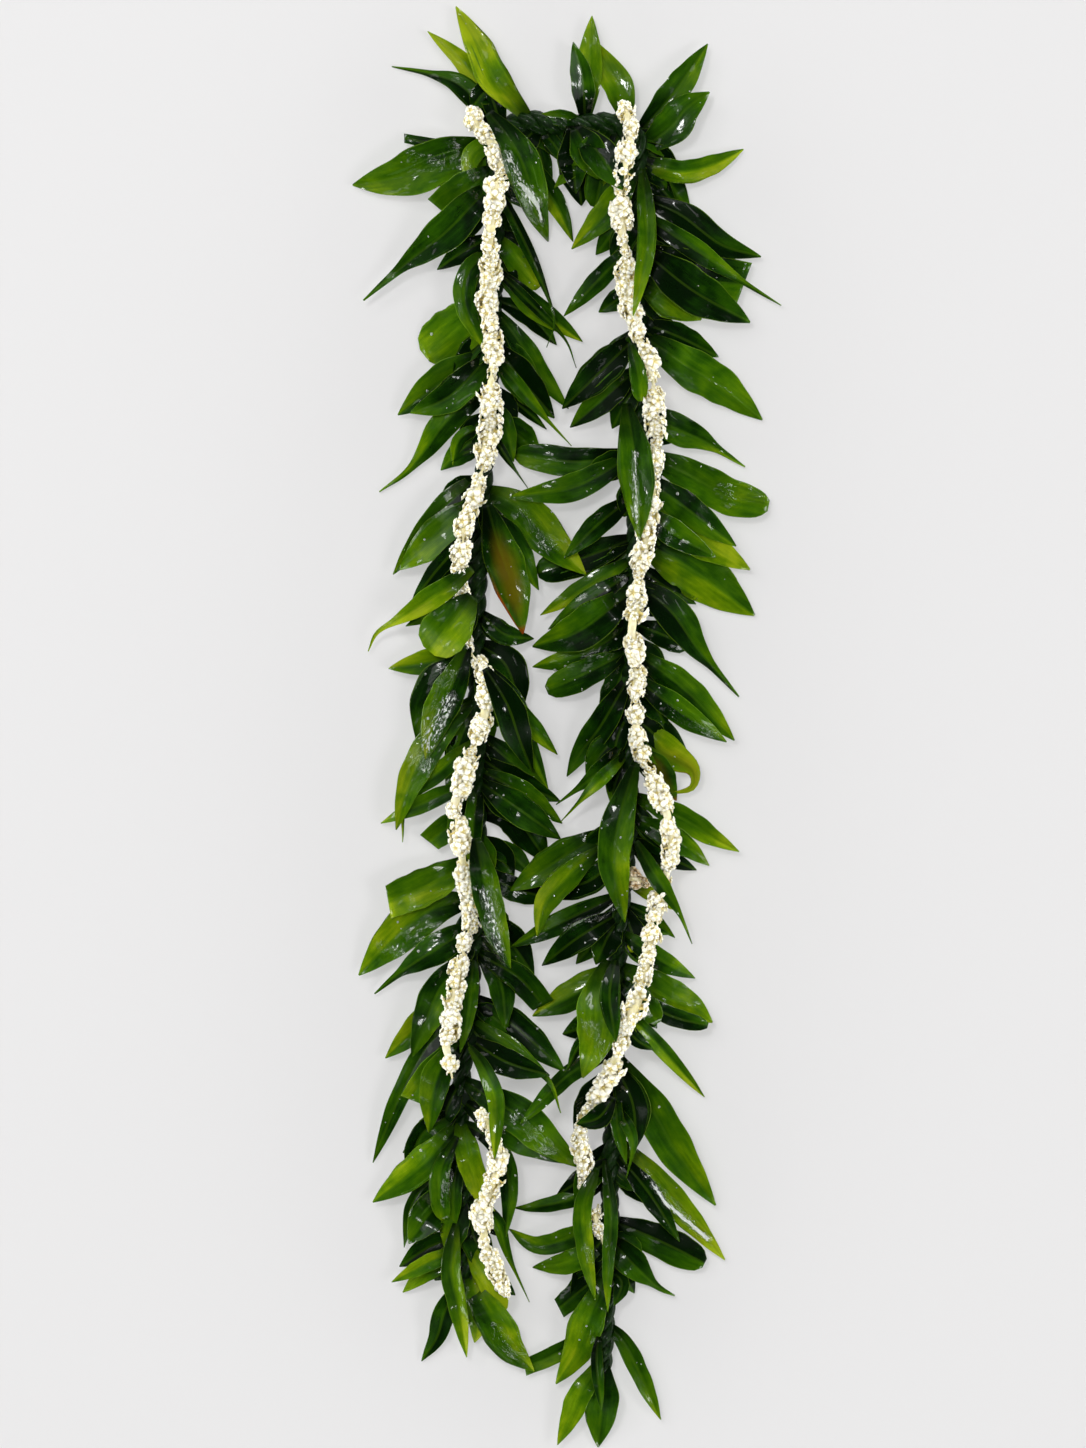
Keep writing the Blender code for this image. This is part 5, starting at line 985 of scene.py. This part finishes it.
def leafMaterial():
    look = leafLook
    material, shader, place = newMaterial("wetTiLeaf")
    tree = place.tree
    tint, brown = wire(tree, "ShaderNodeAttribute", out=("Color", "Alpha"), attribute_name="leafTint")
    under = wire(tree, "ShaderNodeAttribute", out="Fac", attribute_name="leafUnder")
    film = wire(tree, "ShaderNodeAttribute", out="Fac", attribute_name="leafFilm")
    tone, chance, satin = wire(tree, "ShaderNodeSeparateColor", {0: tint}, out=(0, 1, 2))
    inMm = wire(tree, "ShaderNodeUVMap", uv_map="leafMm")
    share = wire(tree, "ShaderNodeUVMap", uv_map="leafShare")
    along, across = wire(tree, "ShaderNodeSeparateXYZ", {0: share}, out=(0, 1))
    alongMm, acrossMm = wire(tree, "ShaderNodeSeparateXYZ", {0: inMm}, out=(0, 1))
    acrossMm = acrossMm.math("ABSOLUTE")
    away = (across * 2.0 - 1.0).math("ABSOLUTE")
    # Fine veins leave the midrib at a low angle and run to the edge.
    veins = ((alongMm * look["veinSlope"] + acrossMm) * look["veinScale"]).math("SINE")
    shifted = place.moved(tint)
    streakPlace = inMm.stretched(look["streakScale"])
    blotches = shifted.noise(look["blotchScale"], 2.0, 0.5, 0.6)
    streaks = streakPlace.noise(1.0)
    specks = shifted.noise(look["speckScale"], 3.0, 0.6)
    shade = (along - look["tipMiddle"]) * look["tipLighter"] + tone
    for pattern, amount in ((blotches, "blotches"), (streaks, "streaks"), (specks, "specks")):
        shade = (pattern - 0.5) * look[amount] + shade
    # Painted shade: one half of each leaf is lighter than the other, as if its fold turned that half to the
    # light.
    shade = across.ranged(0.4, 0.6, -0.5, 0.5) * (chance - 0.5) * look["paintedFoldShade"] + shade
    shade = veins * look["veins"] + shade
    shade = (shade * look["contrast"]).math("ADD", look["pivot"] * (1 - look["contrast"]), clamp=True)
    color = shade.ramp(look["tones"])
    # Pale edges: partly the leaf's own lighter margin, partly a painted rim light.
    color = color.mixed(away.ranged(*look["paleMarginAndRimLightEdge"]) * look["paleMarginAndRimLightShare"], look["paleMarginAndRimLight"])
    color = color.mixed(acrossMm.ranged(*look["midribEdge"]) * look["midribShare"], look["midrib"])
    # Painted shade: each leaf is darker towards its root, where the leaves crowd at the rope.
    color = color.scaled(along.ranged(0.0, look["paintedRootShadeEnd"], look["paintedRootShade"], 1.0))
    # An ageing leaf turns olive along its middle and red brown at one edge and at its tip.
    olive = (blotches - away).ranged(*look["oliveEdge"]) * brown * look["oliveShare"]
    olive = olive * along.ranged(*look["oliveFrom"]) * along.ranged(*look["oliveTo"])
    color = color.mixed(olive, look["olive"])
    rust = across.ranged(*look["brownEdge"]) * along.ranged(*look["brownFrom"])
    rust = rust.math("MAXIMUM", along.ranged(*look["brownTip"]))
    color = color.mixed(rust * brown, look["brown"])
    color = color.mixed(under * look["undersideShare"], look["underside"])
    # Water lies in patches that follow the veins: there the leaf is glossy and its film ripples.
    filmPlace = inMm.stretched(look["filmScale"]).moved(tint)
    puddles = filmPlace.noise(1.0, 4.0, 0.6, 0.5)
    wet = (film * look["filmWets"] + puddles).ranged(*look["wetShare"])
    # Where the film is strongest, a painted highlight: pale colour in small sharp patches and streaks.
    frost = filmPlace.noise(look["paintedHighlightScale"], 3.0, 0.6, 0.4).ranged(*look["paintedHighlightEdge"])
    frost = (frost * film.ranged(*look["paintedHighlightFilm"])).math("MAXIMUM", film.ranged(*look["paintedHighlightFull"]))
    color = color.mixed(frost * look["paintedHighlightShare"], look["frost"])
    height = shifted.noise(look["rippleScale"], 1.0, 0.4) * look["ripple"]
    height = streakPlace.noise(3.0, 2.0, 0.6) * look["fineRipple"] + height
    height = veins * look["veinBump"] + height
    bump = (film * look["filmRipple"] * puddles + height).bump(look["bumpDepth"], 1.0)
    dry = satin * (look["satinRoughness"] - look["dryRoughness"]) + look["dryRoughness"]
    coat = satin * look["satinCoat"] + look["dryCoat"]
    plug(shader, {
        "Base Color": color, "Roughness": dry.blended(wet, look["wetRoughness"]), "Normal": bump,
        "Specular IOR Level": look["gloss"], "Coat Weight": coat.blended(wet, look["wetCoat"]),
        "Coat Roughness": look["coatRoughness"], "Coat Normal": bump,
    })
    return material


blossomLook = {
    "petals": [
        (0.0, (0.84, 0.7, 0.25)), (0.25, (0.95, 0.85, 0.46)), (0.55, (0.99, 0.95, 0.73)),
        (0.92, (1.0, 0.98, 0.87)),
    ],
    "dried": [(0.0, (0.45, 0.27, 0.09)), (0.4, (0.72, 0.52, 0.27)), (0.9, (0.86, 0.76, 0.58))],
    "core": [(0.35, (0.86, 0.79, 0.42)), (0.65, (0.97, 0.92, 0.68))], "coreScale": 240.0,
    "patches": 0.5, "patchScale": 160.0, "grainScale": 1400.0, "grainDepth": 0.0002, "grain": 0.3,
    "roughness": 0.5, "glow": 0.12, "glowDepth": 0.001, "glowColor": (1.0, 0.9, 0.6),
}


def petalMaterial(name, tones):
    look = blossomLook
    material, shader, place = newMaterial(name)
    share = wire(place.tree, "ShaderNodeAttribute", out="Fac", attribute_name="petalShare")
    patches = (place.noise(look["patchScale"]) - 0.5) * look["patches"]
    plug(shader, {
        "Base Color": patches.math("ADD", share, clamp=True).ramp(tones), "Roughness": look["roughness"],
        "Subsurface Weight": look["glow"], "Subsurface Scale": look["glowDepth"],
        "Subsurface Radius": look["glowColor"],
        "Normal": place.noise(look["grainScale"]).bump(look["grainDepth"], look["grain"]),
    })
    return material


def strandMaterial():
    material, shader, place = newMaterial("blossomStrand")
    color = place.noise(blossomLook["coreScale"]).ramp(blossomLook["core"])
    plug(shader, {"Base Color": color, "Roughness": blossomLook["roughness"]})
    return material


ropeLook = {
    "tones": [(0.25, (0.001, 0.006, 0.0005)), (0.55, (0.004, 0.02, 0.001)), (0.8, (0.018, 0.055, 0.004))],
    "fibreScale": 340.0, "fibreDepth": 0.0008, "fibres": 0.9, "roughness": 0.4, "gloss": 0.08, "coat": 0.1,
}


def ropeMaterial():
    look = ropeLook
    material, shader, place = newMaterial("twistedStems")
    fibres = place.noise(look["fibreScale"], 4.0, 0.6, 0.8)
    plug(shader, {
        "Base Color": fibres.ramp(look["tones"]), "Roughness": look["roughness"], "Coat Weight": look["coat"],
        "Specular IOR Level": look["gloss"], "Normal": fibres.bump(look["fibreDepth"], look["fibres"]),
    })
    return material


# The droplets are partly milky white, a painted glint that makes them read as bright dots; the rest of their
# light passes through as in clear water.
waterLook = {
    "surface": {"Base Color": (0.95, 1.0, 0.95, 1), "Roughness": 0.03, "Transmission Weight": 0.7,
                "IOR": 1.33, "Coat Weight": 0.8, "Coat Roughness": 0.02},
    "rippleScale": 900.0, "rippleDepth": 0.0002, "ripple": 0.3,
}


def waterMaterial():
    look = waterLook
    material, shader, place = newMaterial("waterDroplet")
    ripples = place.noise(look["rippleScale"], 1.0).bump(look["rippleDepth"], look["ripple"])
    plug(shader, {**look["surface"], "Normal": ripples})
    return material


leafGreen = leafMaterial()
petalWhite = petalMaterial("waxyPetal", blossomLook["petals"])
petalDried = petalMaterial("driedPetal", blossomLook["dried"])
strandGreen, ropeGreen, waterWithPaintedGlint = strandMaterial(), ropeMaterial(), waterMaterial()
print("materials made")


# Geometry Nodes: a tree is run on its host, and what it gives is kept as a plain mesh.
socketKinds = {int: "Int", float: "Float", bpy.types.Object: "Object", bpy.types.Material: "Material"}


def newTree(name, values):
    # Each value becomes an input of the tree, under its own name.
    tree = bpy.data.node_groups.new(name, "GeometryNodeTree")
    tree.interface.new_socket("Geometry", in_out="INPUT", socket_type="NodeSocketGeometry")
    for label, value in values.items():
        kind = "NodeSocket" + socketKinds[type(value)]
        tree.interface.new_socket(label, in_out="INPUT", socket_type=kind)
    tree.interface.new_socket("Geometry", in_out="OUTPUT", socket_type="NodeSocketGeometry")
    start = {socket.name: Wire(socket) for socket in tree.nodes.new("NodeGroupInput").outputs}
    return tree, start, tree.nodes.new("NodeGroupOutput")


def grow(name, host, tree, values):
    modifier = host.modifiers.new("grow", "NODES")
    modifier.node_group = tree
    for item in tree.interface.items_tree:
        if item.in_out == "INPUT" and item.name in values:
            modifier[item.identifier] = values[item.name]
    graph = bpy.context.evaluated_depsgraph_get()
    mesh = bpy.data.meshes.new_from_object(host.evaluated_get(graph))
    host.modifiers.remove(modifier)
    mesh.name = name
    return linked(name, mesh)


def pathObject(name, points, radii):
    edges = [(index, index + 1) for index in range(len(points) - 1)]
    path = meshObject(name, np.array(points) * mm, edges=edges)
    store(path.data, "strandRadius", np.array(radii, np.float32) * mm)
    return path


def named(tree, name):
    return wire(tree, "GeometryNodeInputNamedAttribute", {"Name": name}, data_type="FLOAT")


def chanceNode(low, high, seed):
    return seed.node("FunctionNodeRandomValue", {2: low, 3: high, "Seed": seed}, 1, data_type="FLOAT")


def resampled(curve, length):
    return curve.node("GeometryNodeResampleCurve", {"Curve": curve, "Length": length}, mode="LENGTH")


def tube(curve, radius, sides):
    ring = curve.node("GeometryNodeCurvePrimitiveCircle", {"Resolution": sides, "Radius": 1.0})
    inputs = {"Curve": curve, "Profile Curve": ring, "Scale": radius, "Fill Caps": True}
    return curve.node("GeometryNodeCurveToMesh", inputs)


def instanced(points, shape, rotation, scale, **more):
    shape = points.node("GeometryNodeObjectInfo", {"Object": shape}, "Geometry")
    inputs = {"Points": points, "Instance": shape, "Rotation": rotation, "Scale": scale, **more}
    return points.node("GeometryNodeInstanceOnPoints", inputs)


def finished(body, material):
    body = body.node("GeometryNodeRealizeInstances", {0: body})
    return body.node("GeometryNodeSetMaterial", {"Geometry": body, "Material": material})


# The rope: plies wound about each other along the path. Its middle is lifted by a share of its radius.
ropeLift = 1.16
ropeForm = {
    "plies": 3, "turnLength": 34.0 * mm, "spread": 0.46, "plyShare": 0.56, "step": 2.4 * mm,
    "unevenScale": 60.0, "thinnest": 0.8, "thickest": 1.15, "sides": 9, "seed": 4, "material": ropeGreen,
}


def ropeTree():
    tree, start, end = newTree("twistedRope", ropeForm)
    path = wire(tree, "GeometryNodeMeshToCurve", {0: start["Geometry"]})
    inputs = {"Geometry": resampled(path, start["step"]), "Amount": start["plies"]}
    outputs = ("Geometry", "Duplicate Index")
    copies, number = wire(tree, "GeometryNodeDuplicateElements", inputs, outputs, domain="SPLINE")
    turns = wire(tree, "GeometryNodeSplineParameter", out="Length") / start["turnLength"]
    angle = (turns + number / start["plies"]) * math.tau
    outward = wire(tree, "GeometryNodeInputNormal").turned(wire(tree, "GeometryNodeInputTangent"), angle)
    radius = named(tree, "strandRadius")
    inputs = {"Geometry": copies, "Offset": outward.scaled(radius * start["spread"])}
    wound = wire(tree, "GeometryNodeSetPosition", inputs)
    inputs = {"Vector": wire(tree, "GeometryNodeInputPosition"), "W": start["seed"]}
    inputs["Scale"] = start["unevenScale"]
    uneven = wire(tree, "ShaderNodeTexNoise", inputs, noise_dimensions="4D")
    uneven = uneven.ranged(0.3, 0.7, start["thinnest"], start["thickest"])
    body = tube(wound, radius * start["plyShare"] * uneven, start["sides"])
    body = wire(tree, "GeometryNodeSetShadeSmooth", {0: body})
    plug(end, {"Geometry": finished(body, start["material"])})
    return tree


# One floret: five cupped petals on a short tube, petalShare runs from its throat to the rims.
floretForm = {
    "petals": 5, "throat": 0.1, "reach": 3.3, "halfWidth": 1.55, "rise": 1.0, "curl": 0.8, "dome": 0.7,
    "thickness": 0.6, "domeAt": 0.6, "rimShare": 0.75, "tubeSides": 5, "tube": [(0.3, 0.6), (-3.0, 0.5)],
    "outline": [(0.0, 0.0), (0.3, 0.7), (0.62, 1.0), (0.92, 0.68), (1.0, 0.0), (0.92, -0.68), (0.62, -1.0),
                (0.3, -0.7)],
}


def floretObject():
    form = floretForm
    points, faces, shares = [], [], []
    count = len(form["outline"])
    for petal in range(form["petals"]):
        angle = math.tau * petal / form["petals"]
        turn = np.array([[math.cos(angle), -math.sin(angle)], [math.sin(angle), math.cos(angle)]])
        first = len(points)
        for along, across in form["outline"] + [(form["domeAt"], 0.0)] * 2:
            out = form["throat"] + (form["reach"] - form["throat"]) * along
            xy = turn @ np.array([out, across * form["halfWidth"]])
            points.append([xy[0], xy[1], form["rise"] * along**0.8 - form["curl"] * along**4])
            shares.append(form["rimShare"] * along)
        shares[-2] = 1.0
        points[-2][2] += form["dome"]
        points[-1][2] -= form["thickness"]
        for index in range(count):
            after = (index + 1) % count
            faces.append((first + after, first + count, first + index))
            faces.append((first + count + 1, first + after, first + index))
    first, sides = len(points), form["tubeSides"]
    for height, radius in form["tube"]:
        for corner in range(sides):
            angle = math.tau * (corner + 0.5) / sides
            points.append([radius * math.cos(angle), radius * math.sin(angle), height])
            shares.append(0.0)
    for corner in range(sides):
        after = (corner + 1) % sides
        faces.append((first + corner, first + sides + corner, first + sides + after, first + after))
    faces.append(tuple(range(first, first + sides)))
    faces.append(tuple(range(first + 2 * sides - 1, first + sides - 1, -1)))
    floret = meshObject("floretShape", np.array(points) * mm, faces)
    store(floret.data, "petalShare", shares)
    return floret


stringForm = {
    "spacing": 0.82 * mm, "reach": 0.68, "leastRadius": 2.9 * mm, "size": 1.25, "lean": 0.6, "core": 0.58,
    "cluster": 16.5 * mm, "unevenClusters": 1.9, "pinch": 0.25, "bareBelow": 0.785, "seed": 11,
    "nearest": 0.74, "farthest": 1.12, "smallest": 0.66, "largest": 1.16,
    "thinRadius": 2.8 * mm, "fullRadius": 6.0 * mm, "thinSize": 0.6,
    "petalDepth": 1.7 * mm, "leastCore": 0.7 * mm, "coreStep": 1.6 * mm, "coreSides": 8,
    "floret": floretObject(), "petals": petalWhite, "strand": strandGreen,
}
goldenAngle = 2.39996


def blossomTree():
    tree, start, end = newTree("blossomString", stringForm)
    seed, radius = start["seed"], named(tree, "strandRadius")
    path = wire(tree, "GeometryNodeMeshToCurve", {0: start["Geometry"]})
    inputs, outputs = {"Curve": resampled(path, start["spacing"])}, ("Points", "Tangent", "Normal")
    dots, tangent, normal = wire(tree, "GeometryNodeCurveToPoints", inputs, outputs, mode="EVALUATED")
    # The florets stand in clusters: the string swells and pinches along its length.
    index = wire(tree, "GeometryNodeInputIndex")
    swell = index * start["spacing"] / start["cluster"]
    swell = swell + (swell * start["unevenClusters"]).math("SINE")
    swell = (swell * math.tau).math("SINE") * start["pinch"] + 1.0
    outward = normal.turned(tangent, index * goldenAngle + chanceNode(-0.5, 0.5, seed))
    spread = chanceNode(start["nearest"], start["farthest"], seed + 5)
    spread = radius * start["reach"] * spread * swell
    placed = wire(tree, "GeometryNodeSetPosition", {"Geometry": dots, "Offset": outward.scaled(spread)})
    facing = outward.moved(tangent.scaled(start["lean"] * chanceNode(-1.0, 1.0, seed + 9)))
    toward = wire(tree, "FunctionNodeAlignRotationToVector", {"Vector": facing}, axis="Z")
    spin = wire(tree, "ShaderNodeCombineXYZ", {2: chanceNode(0.0, math.tau, seed + 2)})
    spin = wire(tree, "FunctionNodeEulerToRotation", {0: spin})
    turned = wire(tree, "FunctionNodeRotateRotation", {0: toward, 1: spin}, rotation_space="LOCAL")
    size = chanceNode(start["smallest"], start["largest"], seed + 3)
    thinner = radius.ranged(start["thinRadius"], start["fullRadius"], start["thinSize"], 1.0)
    size = start["size"] * size * swell * thinner
    wide = wire(tree, "FunctionNodeCompare", {0: radius, 1: start["leastRadius"]}, data_type="FLOAT")
    full = wire(tree, "FunctionNodeCompare", {0: swell, 1: start["bareBelow"]}, data_type="FLOAT")
    both = wire(tree, "FunctionNodeBooleanMath", {0: wide, 1: full}, operation="AND")
    florets = finished(instanced(placed, start["floret"], turned, size, Selection=both), start["petals"])
    # The pale stem that shows between clusters.
    stem = ((radius - start["petalDepth"]) * start["core"]).math("MAXIMUM", start["leastCore"])
    core = tube(resampled(path, start["coreStep"]), stem, start["coreSides"])
    core = finished(core, start["strand"])
    joined = addNode(tree, "GeometryNodeJoinGeometry")
    for body in (core, florets):
        plug(joined, {0: body})
    plug(end, {"Geometry": Wire(joined.outputs[0])})
    return tree


# Water: flat domes scattered over the upper faces of the leaves.
domeForm = {"flatness": 0.6, "sides": 10, "rings": [(0.55, 0.86), (0.9, 0.45), (1.0, -0.1)]}


def dropletObject():
    flatness, sides = domeForm["flatness"], domeForm["sides"]
    points, faces = [[0, 0, flatness]], []
    for radius, height in domeForm["rings"]:
        for corner in range(sides):
            angle = math.tau * corner / sides
            points.append([radius * math.cos(angle), radius * math.sin(angle), height * flatness])
    for corner in range(sides):
        after = (corner + 1) % sides
        faces.append((0, 1 + corner, 1 + after))
        for ring in (1, 1 + sides):
            faces.append((ring + corner, ring + sides + corner, ring + sides + after, ring + after))
    faces.append(tuple(range(3 * sides, 2 * sides, -1)))
    return meshObject("dropletShape", np.array(points) * mm, faces)


dropForm = {
    "density": 7000.0, "seed": 21, "small": 0.35, "large": 1.15, "rareLarge": 3.0,
    "patchScale": 34.0, "patchFrom": 0.45, "patchFull": 0.75, "levelFrom": 0.6, "levelFull": 0.8,
    "droplet": dropletObject(), "material": waterWithPaintedGlint,
}


def dropletTree():
    tree, start, end = newTree("waterDroplets", dropForm)
    patches = wire(tree, "GeometryNodeInputPosition").noise(start["patchScale"], 1.0)
    patches = patches.ranged(start["patchFrom"], start["patchFull"])
    normal = wire(tree, "GeometryNodeInputNormal")
    level = wire(tree, "ShaderNodeSeparateXYZ", {0: normal}, 2)
    level = level.ranged(start["levelFrom"], start["levelFull"])
    density = patches * ((1.0 - named(tree, "leafUnder")) * level) * start["density"]
    inputs = {"Mesh": start["Geometry"], "Density": density, "Seed": start["seed"]}
    outputs = ("Points", "Rotation")
    scatter = "GeometryNodeDistributePointsOnFaces"
    dots, rotation = wire(tree, scatter, inputs, outputs, distribute_method="RANDOM")
    chance = chanceNode(0.0, 1.0, start["seed"] + 1)
    size = chance.math("POWER", start["rareLarge"]) * (start["large"] - start["small"]) + start["small"]
    drops = instanced(dots, start["droplet"], rotation, size)
    plug(end, {"Geometry": finished(drops, start["material"])})
    return tree


# Extra short leaves close to the rope, below the others. At the neck they are longer and lie on top.
fillerForm = {
    "perSection": 4, "places": (0.1, 0.9), "bends": (0.9, 1.25), "tones": (0.02, 0.34), "seed": 70,
    "lengths": (26, 50), "widths": (11, 20), "angles": (12, 66), "lowestRoot": -352,
    "most": 3, "sunk": 1.5, "overFloor": 1,
    "neckFrom": 325, "neckMore": 4, "neckMiddle": 10, "neckWidth": 22, "neckOver": 0.6,
    "neckLengths": (32, 52), "neckWidths": (15, 25), "neckAngles": (5, 48),
}


def fillerLeaves(section):
    form = fillerForm
    draw = random.Random(form["seed"] + section)
    found = []
    atNeck = rope.at(section + 0.5)[1] > form["neckFrom"]
    for count in range(form["perSection"] + atNeck * form["neckMore"]):
        root = rope.at(section + draw.uniform(*form["places"]))
        fromMiddle = root[0] + plan["laidShift"][0] - form["neckMiddle"]
        onNeck = atNeck and abs(fromMiddle) < form["neckWidth"]
        keys = ("neckLengths", "neckAngles", "neckWidths") if onNeck else ("lengths", "angles", "widths")
        lengths, angles, widths = (form[key] for key in keys)
        length = draw.uniform(*lengths)
        angle = math.radians(draw.uniform(*angles)) * (1 if count % 2 else -1)
        if onNeck and fromMiddle < 0:
            angle = abs(angle)
        tone, width = draw.uniform(*form["tones"]), draw.uniform(*widths)
        if root[1] < form["lowestRoot"]:
            continue
        blade = bentBlade(root, length, angle, draw.uniform(*form["bends"]), width, tone)
        ground = heightsLaid.height(blade.middle)
        if onNeck:
            blade.height = blade.height + np.maximum(ground + form["neckOver"] - blade.height, 0)
        else:
            sunk = np.maximum(ground - form["sunk"], plan["floorGap"] + form["overFloor"])
            blade.height = np.minimum(blade.height + form["most"], sunk)
        found.append(blade)
    return found


def finishPiece(obj, nodes=()):
    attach(obj, "root")
    if nodes:
        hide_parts(*nodes)


leafBunches = {}
for section, blades in enumerate(sectionLeaves):
    node = namesOfSections[section]
    leafBunches[node] = (node.replace("_", "") + "Blades", blades + fillerLeaves(section))
for node, blade in laidFronts.items():
    blade.brown = 1.0 if "brown" in node else 0.0
    leafBunches[node] = ("".join(word.title() for word in node.split("_")), [blade])
leafPieces = []
for node, (name, blades) in leafBunches.items():
    piece = leafObject(name, blades)
    piece.data.materials.append(leafGreen)
    finishPiece(piece, [node])
    leafPieces.append(piece)
print("leaf pieces:", len(leafPieces), "faces:", sum(len(piece.data.polygons) for piece in leafPieces))

ropePath = rope.route + np.array(plan["laidShift"])
neckRise = (plan["neckY"] - 12, plan["neckY"] + 8)
ropeRadii = np.interp(ropePath[:, 1], neckRise, (plan["ropeRadius"], plan["neckRadius"]))
ropeHost = pathObject("ropePath", np.column_stack([ropePath, ropeRadii * ropeLift]), ropeRadii)
twistedRope = grow("twistedRope", ropeHost, ropeTree(), ropeForm)
finishPiece(twistedRope)
bpy.data.objects.remove(ropeHost)
print("rope faces:", len(twistedRope.data.polygons))

stringNodes = blossomTree()
for node, string in laidStrings.items():
    points = np.column_stack([string.middle + np.array(plan["laidShift"]), string.height])
    host = pathObject(node + "Path", points, string.width / 2)
    words = node.split("_")
    name = words[0] + "".join(word.title() for word in words[1:]) + "Florets"
    petals = petalDried if "glimpse" in node else petalWhite
    piece = grow(name, host, stringNodes, {**stringForm, "petals": petals})
    finishPiece(piece, [node])
    bpy.data.objects.remove(host)
    print(piece.name, "faces:", len(piece.data.polygons))
bpy.data.objects.remove(stringForm["floret"])

dropNodes = dropletTree()
drops = [grow(f"drops{index}", leaf, dropNodes, {**dropForm, "seed": dropForm["seed"] + index})
         for index, leaf in enumerate(leafPieces)]
points = [tuple(vertex.co) for drop in drops for vertex in drop.data.vertices]
dropFaces = [(len(drop.data.vertices), [face.vertices for face in drop.data.polygons]) for drop in drops]
faces = stackFaces(dropFaces)
waterDroplets = meshObject("waterDroplets", points, faces)
waterDroplets.data.materials.append(waterWithPaintedGlint)
finishPiece(waterDroplets)
for used in (*drops, dropForm["droplet"]):
    bpy.data.objects.remove(used)
print("droplet faces:", len(waterDroplets.data.polygons))

# Floor, light and camera, in metres and watts. The sensor is in millimetres.
studio = {
    "floorSize": 12.0, "floorHeight": -0.0003,
    # The floor glows evenly, a painted light that makes the shadows cast on it fainter.
    "floor": {"Base Color": (0.46, 0.457, 0.457, 1), "Roughness": 0.9, "Specular IOR Level": 0.1,
              "Emission Color": (1, 0.99, 0.992, 1), "Emission Strength": 0.37},
    "skyLow": 6.6, "skyHigh": 0.03, "skyEdge": (0.1, 0.36),
    "softboxes": [  # place, size, watts
        ((-1.5, 1.3, 4.6), (4.4, 4.4), 76.0), ((-1.0, 1.25, 4.5), (0.7, 0.7), 56.0),
        ((2.6, -0.9, 3.8), (0.4, 1.6), 42.0), ((-2.5, 2.0, 2.8), (0.35, 0.35), 11.0),
    ],
    "cameraHeight": 5.0, "frameHeight": 0.9267, "frameMiddle": (-0.0154, 0.0019), "sensor": 36.0,
}


def makeStudio():
    bpy.ops.mesh.primitive_plane_add(size=studio["floorSize"], location=(0, 0, studio["floorHeight"]))
    floor = bpy.context.object
    floor.name = "studioFloor"
    material, shader, _ = newMaterial("paleFloor")
    plug(shader, studio["floor"])
    floor.data.materials.append(material)
    for index, (place, size, power) in enumerate(studio["softboxes"]):
        light = bpy.data.lights.new(f"softbox{index}", "AREA")
        light.shape = "RECTANGLE"
        light.size, light.size_y = size
        light.energy = power
        lamp = linked(light.name, light)
        lamp.location = place
        lamp.rotation_euler = (-Vector(place)).to_track_quat("-Z", "Y").to_euler()
    world = bpy.data.worlds.new("studioSky")
    world.use_nodes = True
    bpy.context.scene.world = world
    direction = wire(world.node_tree, "ShaderNodeTexCoord", out="Generated")
    lift = direction.node("ShaderNodeSeparateXYZ", {0: direction}, 2)
    strength = lift.ranged(*studio["skyEdge"], studio["skyLow"], studio["skyHigh"])
    plug(world.node_tree.nodes["Background"], {"Strength": strength, "Color": (1, 1, 1, 1)})
    camera = bpy.data.cameras.new("overhead")
    camera.sensor_fit = "VERTICAL"
    camera.sensor_height = studio["sensor"]
    camera.lens = studio["sensor"] * studio["cameraHeight"] / studio["frameHeight"]
    camera.clip_end = 40.0
    view = linked("overhead", camera)
    view.location = (*studio["frameMiddle"], studio["cameraHeight"])
    bpy.context.scene.camera = view


makeStudio()
bpy.context.scene.view_settings.view_transform = "Standard"
bpy.context.view_layer.update()
